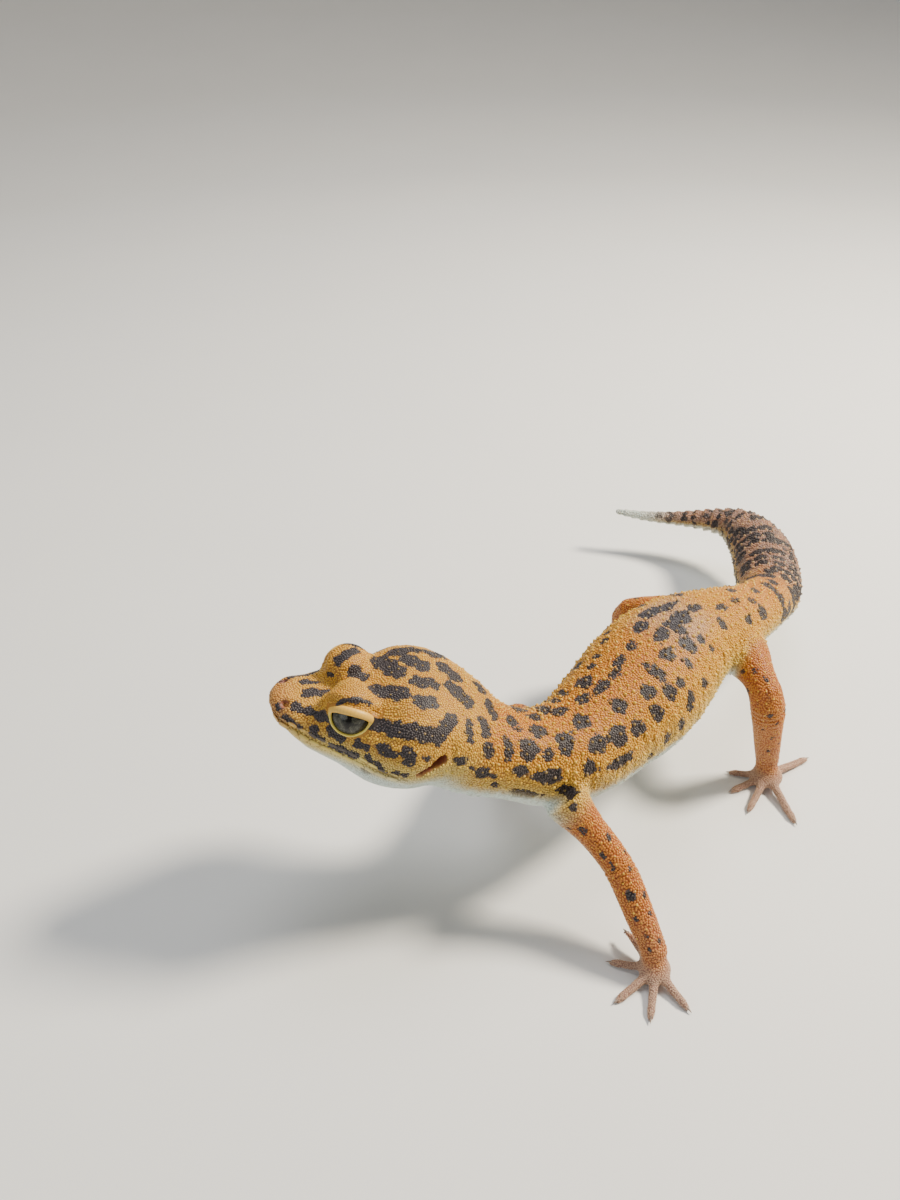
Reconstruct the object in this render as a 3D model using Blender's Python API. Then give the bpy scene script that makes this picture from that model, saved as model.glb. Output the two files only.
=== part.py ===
"""A leopard gecko at life size, standing high on its feet with its head turned to its right.

The trunk lies along X with the head end at +X, the animal's left is +Y and the floor is z = 0.
Sizes are written in millimetres and turned into Blender's metres by MM where a mesh is made.
The body is one chain of sections from the snout to the tip of the tail, parted by thin cuts.
"""

import math

import bmesh
import bpy
from mathutils import Matrix, Vector

MM = 0.001

# Driving dimensions, in millimetres.
GAP = 0.3  # width of a cut between two neighbouring pieces
BODY_SIDES = 26
TAIL_SIDES = 14
LIMB_SIDES = 12
DIGIT_SIDES = 6

SNOUT_TIP = Vector((78.3, -31.8, 43.6))
HEAD_YAW = math.radians(-36.5)  # the head is turned to the animal's right
HEAD_PITCH = math.radians(13.0)  # and raised a little

EYE_RADIUS = 3.5
EYE_BEHIND_SNOUT = 11.9
EYE_OUT = 4.0  # from the middle of the head to the centre of an eyeball
EYE_UP = 2.4
LID_THICKNESS = 0.5
EYE_OPENING = (3.0, 2.5)  # half length and half height between the lids
EYE_TILT = math.radians(4.0)  # the eyes look a little upwards

EAR_BEHIND_SNOUT = 25.3
EAR_OUT = 11.3
EAR_SHIFT = 0.9  # the neck already bends to the left there
EAR_DOWN = 1.2
EAR_SIZES = (2.1, 1.6, 0.9)  # half length, depth and half height of the opening
EAR_SLOPE = math.radians(50.0)
MOUTH_LENGTH = 21.8
MOUTH_BELOW_SNOUT = 1.2
MOUTH_SLOPE = math.radians(9.0)

# Distance behind the snout, shift to the left, level over the head's line, then the section's
# half width, height above and height below that level.
HEAD_SECTIONS = (
    (0.0, 0.0, -0.3, 3.2, 1.8, 2.4),
    (3.0, 0.0, -0.9, 5.0, 2.4, 3.2),
    (6.6, 0.0, -1.7, 6.8, 3.9, 5.3),
    (11.8, 0.0, -2.5, 9.0, 6.6, 6.5),
    (16.5, 0.0, -3.0, 11.2, 8.6, 8.4),
    (20.5, 0.3, -3.1, 12.3, 9.9, 8.3),
    (24.7, 0.8, -3.1, 12.2, 9.7, 7.8),
    (28.5, 1.6, -3.4, 10.8, 8.3, 7.2),
)
HEAD_SQUARENESS = 2.6  # 2 is an ellipse, more is boxier
BODY_SQUARENESS = 2.15
SNOUT_ROUNDING = 3.2

# Centre of a section x, y, z, then half width, height above and below the centre.
NECK_SECTIONS = (
    (53.5, -9.6, 29.9, 8.6, 7.4, 8.4),
    (49.8, -6.2, 27.8, 7.8, 7.2, 7.4),
    (46.6, -4.0, 26.0, 8.4, 7.8, 8.0),
)
TRUNK_SECTIONS = (
    (38.9, -1.0, 24.6, 9.4, 8.4, 8.8),
    (30.0, -0.7, 24.9, 10.6, 9.4, 10.0),
    (21.0, -0.8, 25.6, 12.0, 10.4, 11.0),
    (12.0, -1.7, 26.3, 11.8, 10.4, 10.4),
    (4.0, -1.6, 26.6, 10.4, 9.4, 9.2),
    (-5.0, 0.0, 25.9, 8.4, 8.0, 7.8),
    (-15.0, 1.0, 24.0, 6.7, 6.5, 6.3),
)
# Points on the tail's middle line, with its radius there.
TAIL_SECTIONS = (
    (-25.4, 0.4, 21.2, 6.1),
    (-35.0, -2.6, 17.6, 6.7),
    (-43.6, -7.4, 15.5, 7.2),
    (-50.8, -12.6, 14.8, 6.9),
    (-56.2, -18.6, 14.4, 6.0),
    (-58.9, -24.4, 14.0, 4.6),
    (-58.8, -29.4, 13.2, 3.4),
    (-57.0, -34.8, 12.1, 2.5),
    (-54.2, -40.2, 11.3, 1.85),
    (-50.2, -46.4, 11.1, 1.35),
    (-46.2, -52.6, 11.6, 0.8),
)
TAIL_TIP_ROUNDING = 1.2
TAIL_FLATNESS = 0.95  # height over width

# A limb: its joints from the body outwards, the radii at the joints and at the muscles between.
ARM_RADII = (4.2, 2.9, 2.75, 2.6, 2.45)
LEG_RADII = (5.6, 4.5, 3.3, 2.8, 2.4)
LEFT_ARM = ((48.4, 4.6, 24.0), (46.2, 15.4, 14.6), (49.6, 27.2, 3.7))
RIGHT_ARM = ((40.0, -9.0, 24.0), (33.5, -18.5, 16.5), (31.5, -23.0, 3.6))
LEFT_LEG = ((-6.5, 3.5, 25.2), (1.6, 16.0, 23.6), (-1.4, 18.8, 3.8))
RIGHT_LEG = ((-7.0, -1.5, 25.6), (0.6, -17.6, 24.4), (-7.0, -18.2, 3.8))

# A foot: the palm's centre and half sizes, then the tips of the five digits from the inner one.
LEFT_HAND = ((50.2, 27.6), (2.8, 2.6), ((48.6, 20.4), (53.8, 21.2), (58.6, 26.0), (57.2, 31.6), (51.6, 35.0)))
RIGHT_HAND = ((31.8, -24.2), (2.8, 2.6), ((36.0, -19.4), (39.6, -24.6), (38.0, -29.4), (33.2, -32.2), (27.2, -30.0)))
LEFT_FOOT = ((-0.6, 19.8), (3.0, 3.1), ((3.0, 13.6), (7.0, 16.4), (9.0, 21.4), (5.2, 29.2), (-11.4, 23.0)))
RIGHT_FOOT = ((-7.4, -19.0), (3.0, 3.1), ((-1.6, -14.6), (0.6, -19.6), (-2.4, -25.0), (-9.4, -28.6), (-16.6, -17.6)))
PALM_HEIGHT = 2.0  # half height of a palm
FLOOR_SINK = 0.15  # soles are made this much too low, then cut off flat at the floor
CLAW_LENGTH = 1.5

# How far each digit rises over the floor at its fleshy end; only one finger is lifted.
FLAT_DIGITS = (0.0, 0.0, 0.0, 0.0, 0.0)
LIFTED_FIRST = (2.2, 0.0, 0.0, 0.0, 0.0)

COLOURS = {
    "skin": (0.83, 0.55, 0.16, 0.55, 0.0),
    "pale_skin": (0.80, 0.78, 0.66, 0.6, 0.0),
    "limb_skin": (0.85, 0.42, 0.14, 0.55, 0.0),
    "tail_skin": (0.62, 0.52, 0.45, 0.55, 0.0),
    "foot_skin": (0.72, 0.55, 0.48, 0.6, 0.0),
    "eye": (0.16, 0.16, 0.13, 0.08, 0.0),
}


# ---------------------------------------------------------------- scene and materials


def clear_scene():
    """Removes what the startup scene holds."""
    for obj in list(bpy.data.objects):
        bpy.data.objects.remove(obj)


def new_collection(name):
    """Adds a collection to the scene."""
    collection = bpy.data.collections.new(name)
    bpy.context.scene.collection.children.link(collection)
    return collection


def make_material(name):
    """A Principled material with the colour, roughness and metallic value of that finish."""
    red, green, blue, roughness, metallic = COLOURS[name]
    material = bpy.data.materials.new(name)
    material.use_nodes = True
    shader = material.node_tree.nodes["Principled BSDF"]
    shader.inputs["Base Color"].default_value = (red, green, blue, 1.0)
    shader.inputs["Roughness"].default_value = roughness
    shader.inputs["Metallic"].default_value = metallic
    material.diffuse_color = (red, green, blue, 1.0)
    return material


class Studio:
    """Holds the collections and the materials that the pieces are filed under."""

    def __init__(self):
        self.parts = new_collection("leopard_gecko")
        self.tools = new_collection("cutters")
        self.materials = {name: make_material(name) for name in COLOURS}

    def add_part(self, name, bm, finish):
        """Makes a visible piece of the animal from a bmesh."""
        obj = self._object(name, bm, self.parts)
        obj.data.materials.append(self.materials[finish])
        obj.data.shade_smooth()
        obj.data.set_sharp_from_angle(angle=math.radians(50.0))
        return obj

    def add_tool(self, name, bm):
        """Makes a hidden piece that cuts or is joined to a visible one."""
        obj = self._object(name, bm, self.tools)
        obj.hide_render = True
        obj.display_type = "WIRE"
        return obj

    def _object(self, name, bm, collection):
        if bm.calc_volume(signed=True) < 0.0:
            bmesh.ops.reverse_faces(bm, faces=bm.faces)
        mesh = bpy.data.meshes.new(name)
        bm.to_mesh(mesh)
        bm.free()
        obj = bpy.data.objects.new(name, mesh)
        collection.objects.link(obj)
        return obj


def boolean(obj, other, operation):
    """Adds a Boolean modifier with the exact solver."""
    modifier = obj.modifiers.new(f"{operation.lower()} {other.name}", "BOOLEAN")
    modifier.operation = operation
    modifier.solver = "EXACT"
    modifier.object = other


# ---------------------------------------------------------------- sections and lofts


def smooth_row(rows, keys, at):
    """The table's row at a key between its rows, on a smooth curve through them."""
    last = len(rows) - 1
    i = max(0, min(last - 1, sum(key <= at for key in keys) - 1))

    def slope(k, column):
        low, high = max(0, k - 1), min(last, k + 1)
        return (rows[high][column] - rows[low][column]) / (keys[high] - keys[low])

    span = keys[i + 1] - keys[i]
    t = (at - keys[i]) / span
    start, end = 2 * t**3 - 3 * t**2 + 1, -2 * t**3 + 3 * t**2
    leave, arrive = t**3 - 2 * t**2 + t, t**3 - t**2
    return [
        start * rows[i][c]
        + end * rows[i + 1][c]
        + span * (leave * slope(i, c) + arrive * slope(i + 1, c))
        for c in range(len(rows[0]))
    ]


class Chain:
    """A row of sections on a curved line, from which lofted pieces are cut.

    Each row holds the centre x, y, z, the half width, the height above and below the centre, and
    the squareness of the outline.
    """

    def __init__(self, rows, upright=(0.0, 0.0, 1.0), start_rounding=0.0, end_rounding=0.0):
        self.rows = rows
        self.upright = Vector(upright)
        self.start_rounding = start_rounding
        self.end_rounding = end_rounding
        self.keys = [0.0]
        for one, two in zip(rows, rows[1:]):
            self.keys.append(self.keys[-1] + (Vector(two[:3]) - Vector(one[:3])).length)

    @property
    def length(self):
        return self.keys[-1]

    def centre(self, at):
        return Vector(smooth_row(self.rows, self.keys, at)[:3])

    def frame(self, at):
        """The section's plane: its sideways and upward directions."""
        step = 3.0  # wide enough to keep the inside of a bend from folding
        low, high = max(0.0, at - step), min(self.length, at + step)
        tangent = (self.centre(high) - self.centre(low)).normalized()
        sideways = self.upright.cross(tangent).normalized()
        return sideways, tangent.cross(sideways)

    def rounding(self, at):
        """1 along the chain, falling to 0 in a quarter circle at a rounded end."""
        share = 1.0
        for radius, depth in (
            (self.start_rounding, at),
            (self.end_rounding, self.length - at),
        ):
            if radius and depth < radius:
                share *= math.sqrt(max(0.0, 1.0 - (1.0 - depth / radius) ** 2))
        return share

    def add_ring(self, bm, at, sides, grow):
        """Adds the section's outline, grown by that much all round, and returns its vertices."""
        x, y, z, half_width, rise, drop, squareness = smooth_row(self.rows, self.keys, at)
        sideways, upward = self.frame(at)
        share = self.rounding(at)
        ring = bmesh.ops.create_circle(bm, segments=sides, radius=1.0)["verts"]
        for vert in ring:
            across, up = (
                math.copysign(abs(part) ** (2.0 / squareness), part) for part in vert.co.xy
            )
            height = (rise if up > 0 else drop) * share + grow
            offset = sideways * across * (half_width * share + grow) + upward * up * height
            vert.co = (Vector((x, y, z)) + offset) * MM
        return ring

    def loft(self, start, end, sides, step, grow=0.0):
        """A closed solid between two places on the chain."""
        bm = bmesh.new()
        places = self.places(start, end, step)
        rings = [self.add_ring(bm, at, sides, grow) for at in places]
        bm.faces.new(rings[0])
        bm.faces.new(list(reversed(rings[-1])))
        for one, two in zip(rings, rings[1:]):
            for k in range(sides):
                after = (k + 1) % sides
                bm.faces.new((one[after], one[k], two[k], two[after]))
        return bm

    def places(self, start, end, step):
        """Even steps, with extra sections where an end is rounded off."""
        count = max(2, round((end - start) / step))
        found = [start + (end - start) * i / count for i in range(count + 1)]
        steps = (0.04, 0.16, 0.38, 0.68)
        if start < self.start_rounding:
            found = [self.start_rounding * s for s in steps] + [
                at for at in found if at > self.start_rounding * 0.85
            ]
        if end > self.length - self.end_rounding:
            found = [at for at in found if at < self.length - self.end_rounding * 0.85] + [
                self.length - self.end_rounding * s for s in reversed(steps)
            ]
        return found


def ellipsoid(centre, half_sizes, turn=None, segments=14, rings=9):
    """A closed ellipsoid. turn is a rotation matrix."""
    bm = bmesh.new()
    bmesh.ops.create_uvsphere(bm, u_segments=segments, v_segments=rings, radius=1.0)
    place = Matrix.Translation(Vector(centre) * MM)
    turned = turn.to_4x4() if turn else Matrix.Identity(4)
    shape = Matrix.Diagonal((*(size * MM for size in half_sizes), 1.0))
    bmesh.ops.transform(bm, matrix=place @ turned @ shape, verts=bm.verts)
    return bm


def box(centre, half_sizes, turn=None):
    """A closed box. turn is a rotation matrix."""
    bm = bmesh.new()
    bmesh.ops.create_cube(bm, size=2.0)
    place = Matrix.Translation(Vector(centre) * MM)
    turned = turn.to_4x4() if turn else Matrix.Identity(4)
    shape = Matrix.Diagonal((*(size * MM for size in half_sizes), 1.0))
    bmesh.ops.transform(bm, matrix=place @ turned @ shape, verts=bm.verts)
    return bm


# ---------------------------------------------------------------- body


def head_axes():
    """The head's own axes as a matrix: forwards, to its left, and up."""
    forwards = Vector(
        (
            math.cos(HEAD_YAW) * math.cos(HEAD_PITCH),
            math.sin(HEAD_YAW) * math.cos(HEAD_PITCH),
            math.sin(HEAD_PITCH),
        )
    )
    left = Vector((0.0, 0.0, 1.0)).cross(forwards).normalized()
    return Matrix((forwards, left, forwards.cross(left))).transposed()


def in_head(behind, left, up):
    """A point given from the tip of the snout along the head's own axes."""
    return SNOUT_TIP + head_axes() @ Vector((-behind, left, up))


def body_rows():
    """The sections of head, neck, trunk and tail in one list, and where each part begins."""
    rows = [
        (*in_head(behind, left, level), *sizes, HEAD_SQUARENESS)
        for behind, left, level, *sizes in HEAD_SECTIONS
    ]
    joints = [len(rows) - 1]
    for sections in (NECK_SECTIONS, TRUNK_SECTIONS):
        rows += [(*section, BODY_SQUARENESS) for section in sections]
        joints.append(len(rows) - 1)
    for x, y, z, radius in TAIL_SECTIONS:
        rows.append((x, y, z, radius, radius * TAIL_FLATNESS, radius * TAIL_FLATNESS, 2.0))
    return rows, joints


def make_body(studio):
    """Head, neck, trunk and three lengths of tail, and the grown trunk that trims the limbs."""
    rows, joints = body_rows()
    chain = Chain(rows, start_rounding=SNOUT_ROUNDING, end_rounding=TAIL_TIP_ROUNDING)
    nape, shoulders, hips = (chain.keys[j] for j in joints)
    half = GAP / 2
    tail = chain.length - hips
    cuts = {
        "neck": (nape, shoulders, BODY_SIDES, 2.6),
        "trunk": (shoulders, hips, BODY_SIDES, 3.6),
        "tail_base": (hips, hips + 0.34 * tail, TAIL_SIDES, 2.6),
        "tail_middle": (hips + 0.34 * tail, hips + 0.68 * tail, TAIL_SIDES, 2.6),
        "tail_tip": (hips + 0.68 * tail, chain.length + half, TAIL_SIDES, 2.6),
    }
    for name, (start, end, sides, step) in cuts.items():
        finish = "tail_skin" if name.startswith("tail") else "skin"
        studio.add_part(name, chain.loft(start + half, end - half, sides, step), finish)
    make_head(studio, chain, nape - half)
    return studio.add_tool(
        "grown_body", chain.loft(nape - 4.0, hips + 12.0, BODY_SIDES, 3.6, grow=GAP)
    )


def make_head(studio, chain, end):
    """The skull with its orbits, eye openings, ears and nostrils, the lower jaw and the eyes."""
    axes = head_axes()
    head = studio.add_part("head", chain.loft(0.0, end, BODY_SIDES, 2.3), "skin")
    for side, sign in (("left", 1.0), ("right", -1.0)):
        centre = in_head(EYE_BEHIND_SNOUT, sign * EYE_OUT, EYE_UP)
        outer = EYE_RADIUS + GAP + LID_THICKNESS
        orbit = ellipsoid(centre, (outer, outer, outer), axes)
        boolean(head, studio.add_tool(f"orbit_{side}", orbit), "UNION")
        socket = EYE_RADIUS + GAP
        hollow = ellipsoid(centre, (socket, socket, socket), axes, 16, 10)
        boolean(head, studio.add_tool(f"socket_{side}", hollow), "DIFFERENCE")
        look = axes @ Matrix.Rotation(sign * EYE_TILT, 3, "X")
        opening_at = centre + look @ Vector((0.0, sign * outer, 0.0))
        opening = ellipsoid(opening_at, (EYE_OPENING[0], 1.9, EYE_OPENING[1]), look, 14, 8)
        boolean(head, studio.add_tool(f"opening_{side}", opening), "DIFFERENCE")
        ear_turn = axes @ Matrix.Rotation(EAR_SLOPE, 3, "Y")
        ear_at = in_head(EAR_BEHIND_SNOUT, EAR_SHIFT + sign * EAR_OUT, -EAR_DOWN)
        ear = ellipsoid(ear_at, EAR_SIZES, ear_turn, 10, 6)
        boolean(head, studio.add_tool(f"ear_{side}", ear), "DIFFERENCE")
        nostril_at = in_head(1.9, sign * 3.3, 0.9)
        nostril = ellipsoid(nostril_at, (0.8, 0.9, 0.6), axes, 8, 6)
        boolean(head, studio.add_tool(f"nostril_{side}", nostril), "DIFFERENCE")
        eyeball = ellipsoid(centre, (EYE_RADIUS,) * 3, axes, 16, 10)
        studio.add_part(f"eye_{side}", eyeball, "eye")
    part_jaw(studio, head, axes)


def part_jaw(studio, head, axes):
    """Parts the lower jaw from the skull by a sloping cut along the mouth."""
    deep, wide = 20.0, 20.0
    turn = axes @ Matrix.Rotation(-MOUTH_SLOPE, 3, "Y")
    corner = in_head(MOUTH_LENGTH, 0.0, 0.0)
    line = in_head(0.0, 0.0, -MOUTH_BELOW_SNOUT)
    along = turn @ Vector((1.0, 0.0, 0.0))
    upward = turn @ Vector((0.0, 0.0, 1.0))
    back = line + along * (corner - line).dot(along)
    half_length = MOUTH_LENGTH
    centre = back + along * half_length - upward * deep
    jaw = head.copy()
    jaw.data = head.data.copy()
    jaw.name = "lower_jaw"
    studio.parts.objects.link(jaw)
    below = studio.add_tool("mouth", box(centre, (half_length, wide, deep), turn))
    boolean(jaw, below, "INTERSECT")
    grown = box(centre, (half_length + GAP, wide, deep + GAP), turn)
    boolean(head, studio.add_tool("mouth_with_gap", grown), "DIFFERENCE")


# ---------------------------------------------------------------- limbs


def limb_rows(joints, radii):
    """Sections down a limb of two bones, with the bend between them rounded off."""
    top, bend, end = (Vector(point) for point in joints)
    root_r, upper_r, bend_r, lower_r, end_r = radii
    turn_in = bend_r * 1.25
    before = bend + (top - bend).normalized() * turn_in
    after = bend + (end - bend).normalized() * turn_in
    corner = before.lerp(after, 0.5).lerp(bend, 0.42)
    lines = (
        (top, root_r),
        (top.lerp(bend, 0.45), upper_r),
        (before, bend_r),
        (corner, bend_r),
        (after, bend_r),
        (bend.lerp(end, 0.55), lower_r),
        (end, end_r),
    )
    return [(*point, radius, radius, radius, 2.0) for point, radius in lines]


def digit_rows(palm, tip, lift):
    """Sections along a digit: knuckle, fleshy end, and the claw that curves down from it."""
    start = Vector((*palm, 1.5))
    reach = Vector((*tip, 0.0)) - Vector((*palm, 0.0))
    along = reach.normalized()
    flesh = reach.length - CLAW_LENGTH
    shape = ((0.0, 1.5, 1.0), (0.4, 1.4, 0.86), (0.72, 0.86, 0.74), (0.9, 0.62, 0.76), (1.0, 0.66, 0.58))
    rows = []
    for share, height, radius in shape:
        point = start + along * flesh * share
        rows.append((point.x, point.y, height + lift * share**2, radius, radius, radius, 2.0))
    claw = ((0.3, 0.78, 0.42), (0.65, 0.68, 0.34), (1.0, 0.34, 0.25))
    for share, height, radius in claw:
        point = start + along * (flesh + CLAW_LENGTH * share)
        rows.append((point.x, point.y, height + lift, radius, radius, radius, 2.0))
    return rows


def make_foot(studio, name, foot, lifts, floor):
    """A palm with five clawed digits, cut off flat at the floor. Returns the palm's grown shape."""
    palm, half_sizes, tips = foot
    centre = (*palm, PALM_HEIGHT - FLOOR_SINK)
    obj = studio.add_part(name, ellipsoid(centre, (*half_sizes, PALM_HEIGHT), None, 12, 8), "foot_skin")
    for number, (tip, lift) in enumerate(zip(tips, lifts), start=1):
        chain = Chain(digit_rows(palm, tip, lift))
        digit = chain.loft(0.0, chain.length, DIGIT_SIDES, 1.6)
        boolean(obj, studio.add_tool(f"{name}_digit_{number}", digit), "UNION")
    boolean(obj, floor, "DIFFERENCE")
    grown = [size + GAP for size in (*half_sizes, PALM_HEIGHT)]
    return studio.add_tool(f"{name}_grown", ellipsoid(centre, grown, None, 12, 8))


def make_limb(studio, names, joints, radii, body, palm):
    """The upper and lower lengths of a limb, trimmed where they meet the body and the foot."""
    upper_name, lower_name = names
    chain = Chain(limb_rows(joints, radii), upright=(1.0, 0.0, 0.0))
    bend = chain.keys[3]
    half = GAP / 2
    upper = studio.add_part(upper_name, chain.loft(0.0, bend - half, LIMB_SIDES, 2.4), "limb_skin")
    boolean(upper, body, "DIFFERENCE")
    lower_bm = chain.loft(bend + half, chain.length, LIMB_SIDES, 2.4)
    lower = studio.add_part(lower_name, lower_bm, "limb_skin")
    boolean(lower, palm, "DIFFERENCE")


def make_limbs(studio, body):
    """All four limbs with their hands and feet."""
    floor = studio.add_tool("floor_cutter", box((0.0, 0.0, -10.0), (200.0, 200.0, 10.0)))
    limbs = (
        ("left", "arm", LEFT_ARM, ARM_RADII, LEFT_HAND, LIFTED_FIRST),
        ("right", "arm", RIGHT_ARM, ARM_RADII, RIGHT_HAND, FLAT_DIGITS),
        ("left", "leg", LEFT_LEG, LEG_RADII, LEFT_FOOT, FLAT_DIGITS),
        ("right", "leg", RIGHT_LEG, LEG_RADII, RIGHT_FOOT, FLAT_DIGITS),
    )
    for side, kind, joints, radii, foot, lifts in limbs:
        end = "hand" if kind == "arm" else "foot"
        palm = make_foot(studio, f"{end}_{side}", foot, lifts, floor)
        names = {
            "arm": (f"upper_arm_{side}", f"forearm_{side}"),
            "leg": (f"thigh_{side}", f"shank_{side}"),
        }[kind]
        make_limb(studio, names, joints, radii, body, palm)


# ---------------------------------------------------------------- assembly


def centre_on_floor(studio):
    """Moves the animal so that the middle of its footprint's box is over the origin."""
    bpy.context.view_layer.update()
    graph = bpy.context.evaluated_depsgraph_get()
    corners = []
    for obj in studio.parts.objects:
        evaluated = obj.evaluated_get(graph)
        corners += [evaluated.matrix_world @ Vector(c) for c in evaluated.bound_box]
    shift = Vector(
        (
            -(min(c.x for c in corners) + max(c.x for c in corners)) / 2,
            -(min(c.y for c in corners) + max(c.y for c in corners)) / 2,
            -min(c.z for c in corners),
        )
    )
    for obj in (*studio.parts.objects, *studio.tools.objects):
        obj.location += shift


def main():
    clear_scene()
    studio = Studio()
    body = make_body(studio)
    make_limbs(studio, body)
    centre_on_floor(studio)


main()
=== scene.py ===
"""The looks of a life-size leopard gecko: one skin, its scales, the lids, the eyes and the claws.

The solids of the frame give every place and size. One skin is grown over the solids of flesh,
sculpted and painted from the animal's own body coordinates, and the scales stand on that skin and
take their markings from its place at their roots.

Lengths inside the script are millimetres in the frame's own axes, and MM turns them into metres
where a mesh is made. The animal's left is +Y and its head end is +X.
"""

from __future__ import annotations

import logging
import math
from collections.abc import Callable, Iterable, Sequence
from dataclasses import dataclass, field
from enum import Enum

import bmesh
import bpy
import numpy as np
from mathutils import Matrix, Vector
from mathutils.bvhtree import BVHTree
from mathutils.kdtree import KDTree

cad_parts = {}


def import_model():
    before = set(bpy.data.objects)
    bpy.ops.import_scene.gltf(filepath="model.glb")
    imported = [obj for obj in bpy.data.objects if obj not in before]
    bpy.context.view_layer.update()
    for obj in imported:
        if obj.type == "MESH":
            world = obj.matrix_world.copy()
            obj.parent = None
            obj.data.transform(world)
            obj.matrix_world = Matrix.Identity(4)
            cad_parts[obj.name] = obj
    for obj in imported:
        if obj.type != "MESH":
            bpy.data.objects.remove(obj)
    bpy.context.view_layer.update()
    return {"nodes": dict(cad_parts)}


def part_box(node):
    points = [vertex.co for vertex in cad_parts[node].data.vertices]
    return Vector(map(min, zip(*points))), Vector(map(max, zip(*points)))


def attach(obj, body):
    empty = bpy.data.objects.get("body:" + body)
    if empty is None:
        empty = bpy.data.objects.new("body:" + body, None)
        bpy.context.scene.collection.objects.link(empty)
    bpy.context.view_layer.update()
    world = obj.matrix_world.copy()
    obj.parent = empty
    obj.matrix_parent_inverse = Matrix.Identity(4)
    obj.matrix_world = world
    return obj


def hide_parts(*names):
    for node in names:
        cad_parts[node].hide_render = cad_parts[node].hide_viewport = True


LOG = logging.getLogger("leopard_gecko")
MM = 0.001
UP = np.array([0.0, 0.0, 1.0])
AHEAD = np.array([1.0, 0.0, 0.0])
SEED = 20
CHAIN = ("head", "lower_jaw", "neck", "trunk", "tail_base", "tail_middle", "tail_tip")
SIDES = {"left": 1.0, "right": -1.0}
LIMBS = {"arm": ("upper_arm", "forearm", "hand"), "leg": ("thigh", "shank", "foot")}

Array = np.ndarray
Color = tuple[float, float, float]
Triple = tuple[float, float, float]


# ---- small helpers ----


def unit(vectors: Array) -> Array:
    """Vectors scaled to length 1, along the last axis."""
    return vectors / np.maximum(np.linalg.norm(vectors, axis=-1, keepdims=True), 1e-9)


def smooth(low: float, high: float, value: Array | float) -> Array:
    """An even S-shaped rise from 0 at low to 1 at high, or a fall where low is the larger."""
    share = np.clip((np.asarray(value, float) - low) / (high - low), 0.0, 1.0)
    return share * share * (3.0 - 2.0 * share)


def bell(distance: Array, width: float) -> Array:
    """A smooth hump, 1 at distance 0 and about a third at one width."""
    return np.exp(-((distance / width) ** 2))


def numbers(rows: bpy.types.bpy_prop_collection, name: str) -> Array:
    """One whole number from each row of a mesh's corners or faces.

    Args:
        rows: The corners or faces.
        name: Which number is read.

    Returns:
        The numbers, in order.
    """
    found = np.empty(len(rows), np.int32)
    rows.foreach_get(name, found)
    return found


def vectors(rows: bpy.types.bpy_prop_collection, name: str) -> Array:
    """One vector from each row of a mesh's data.

    Args:
        rows: The vertices, normals or attribute values.
        name: Which vector is read.

    Returns:
        The vectors, one a row.
    """
    found = np.empty(len(rows) * 3, np.float32)
    rows.foreach_get(name, found)
    return found.reshape(-1, 3).astype(float)


def points_of(mesh: bpy.types.Mesh) -> Array:
    """The vertices of a mesh, in millimetres."""
    return vectors(mesh.vertices, "co") / MM


def normals_of(mesh: bpy.types.Mesh) -> Array:
    """The vertex normals of a mesh."""
    return vectors(mesh.vertex_normals, "vector")


def set_points(mesh: bpy.types.Mesh, points: Array) -> None:
    """Moves the vertices of a mesh to these places, in millimetres."""
    mesh.vertices.foreach_set("co", (points * MM).astype(np.float32).ravel())
    mesh.update()


def add_vectors(mesh: bpy.types.Mesh, name: str, values: Array) -> None:
    """Stores three numbers for each vertex, for a material to read."""
    attribute = mesh.attributes.new(name, "FLOAT_VECTOR", "POINT")
    attribute.data.foreach_set("vector", values.astype(np.float32).ravel())


def new_object(name: str, bm: bmesh.types.BMesh) -> bpy.types.Object:
    """Makes a smooth-shaded object at the origin from a bmesh, and frees the bmesh.

    Args:
        name: The object's name.
        bm: Its mesh, in metres and in place.

    Returns:
        The new object, linked to the scene.
    """
    mesh = bpy.data.meshes.new(name)
    bm.to_mesh(mesh)
    bm.free()
    mesh.shade_smooth()
    return linked(name, mesh)


def linked(name: str, mesh: bpy.types.Mesh) -> bpy.types.Object:
    """Links a mesh to the scene as an object at the origin.

    Args:
        name: The object's name.
        mesh: Its mesh, in place.

    Returns:
        The new object.
    """
    obj = bpy.data.objects.new(name, mesh)
    bpy.context.scene.collection.objects.link(obj)
    return obj


def apply_modifiers(obj: bpy.types.Object) -> None:
    """Replaces an object's mesh by what its modifiers make of it.

    Args:
        obj: The object, which loses its modifiers.
    """
    graph = bpy.context.evaluated_depsgraph_get()
    mesh = bpy.data.meshes.new_from_object(obj.evaluated_get(graph))
    old = obj.data
    obj.modifiers.clear()
    obj.data = mesh
    bpy.data.meshes.remove(old)


def weigh(obj: bpy.types.Object, name: str, weights: Array, levels: int = 24) -> None:
    """Stores weights from 0 to 1 in a vertex group, in a few even levels.

    Args:
        obj: The object that gets the group.
        name: The group's name.
        weights: One weight for each vertex.
        levels: How many different weights are kept apart.
    """
    group = obj.vertex_groups.new(name=name)
    rank = np.rint(np.clip(weights, 0.0, 1.0) * levels).astype(int)
    for level in range(1, levels + 1):
        members = np.flatnonzero(rank == level)
        if len(members):
            group.add(members.tolist(), level / levels, "REPLACE")


def relax(obj: bpy.types.Object, name: str, weights: Array, iterations: int) -> None:
    """Adds a modifier that smooths a mesh as far as its weights say.

    Args:
        obj: The object.
        name: The name of the modifier and its vertex group.
        weights: One weight for each vertex.
        iterations: How often the smoothing is repeated.
    """
    weigh(obj, name, weights)
    modifier = obj.modifiers.new(name, "SMOOTH")
    modifier.factor = 0.5
    modifier.iterations = iterations
    modifier.vertex_group = name


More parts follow.
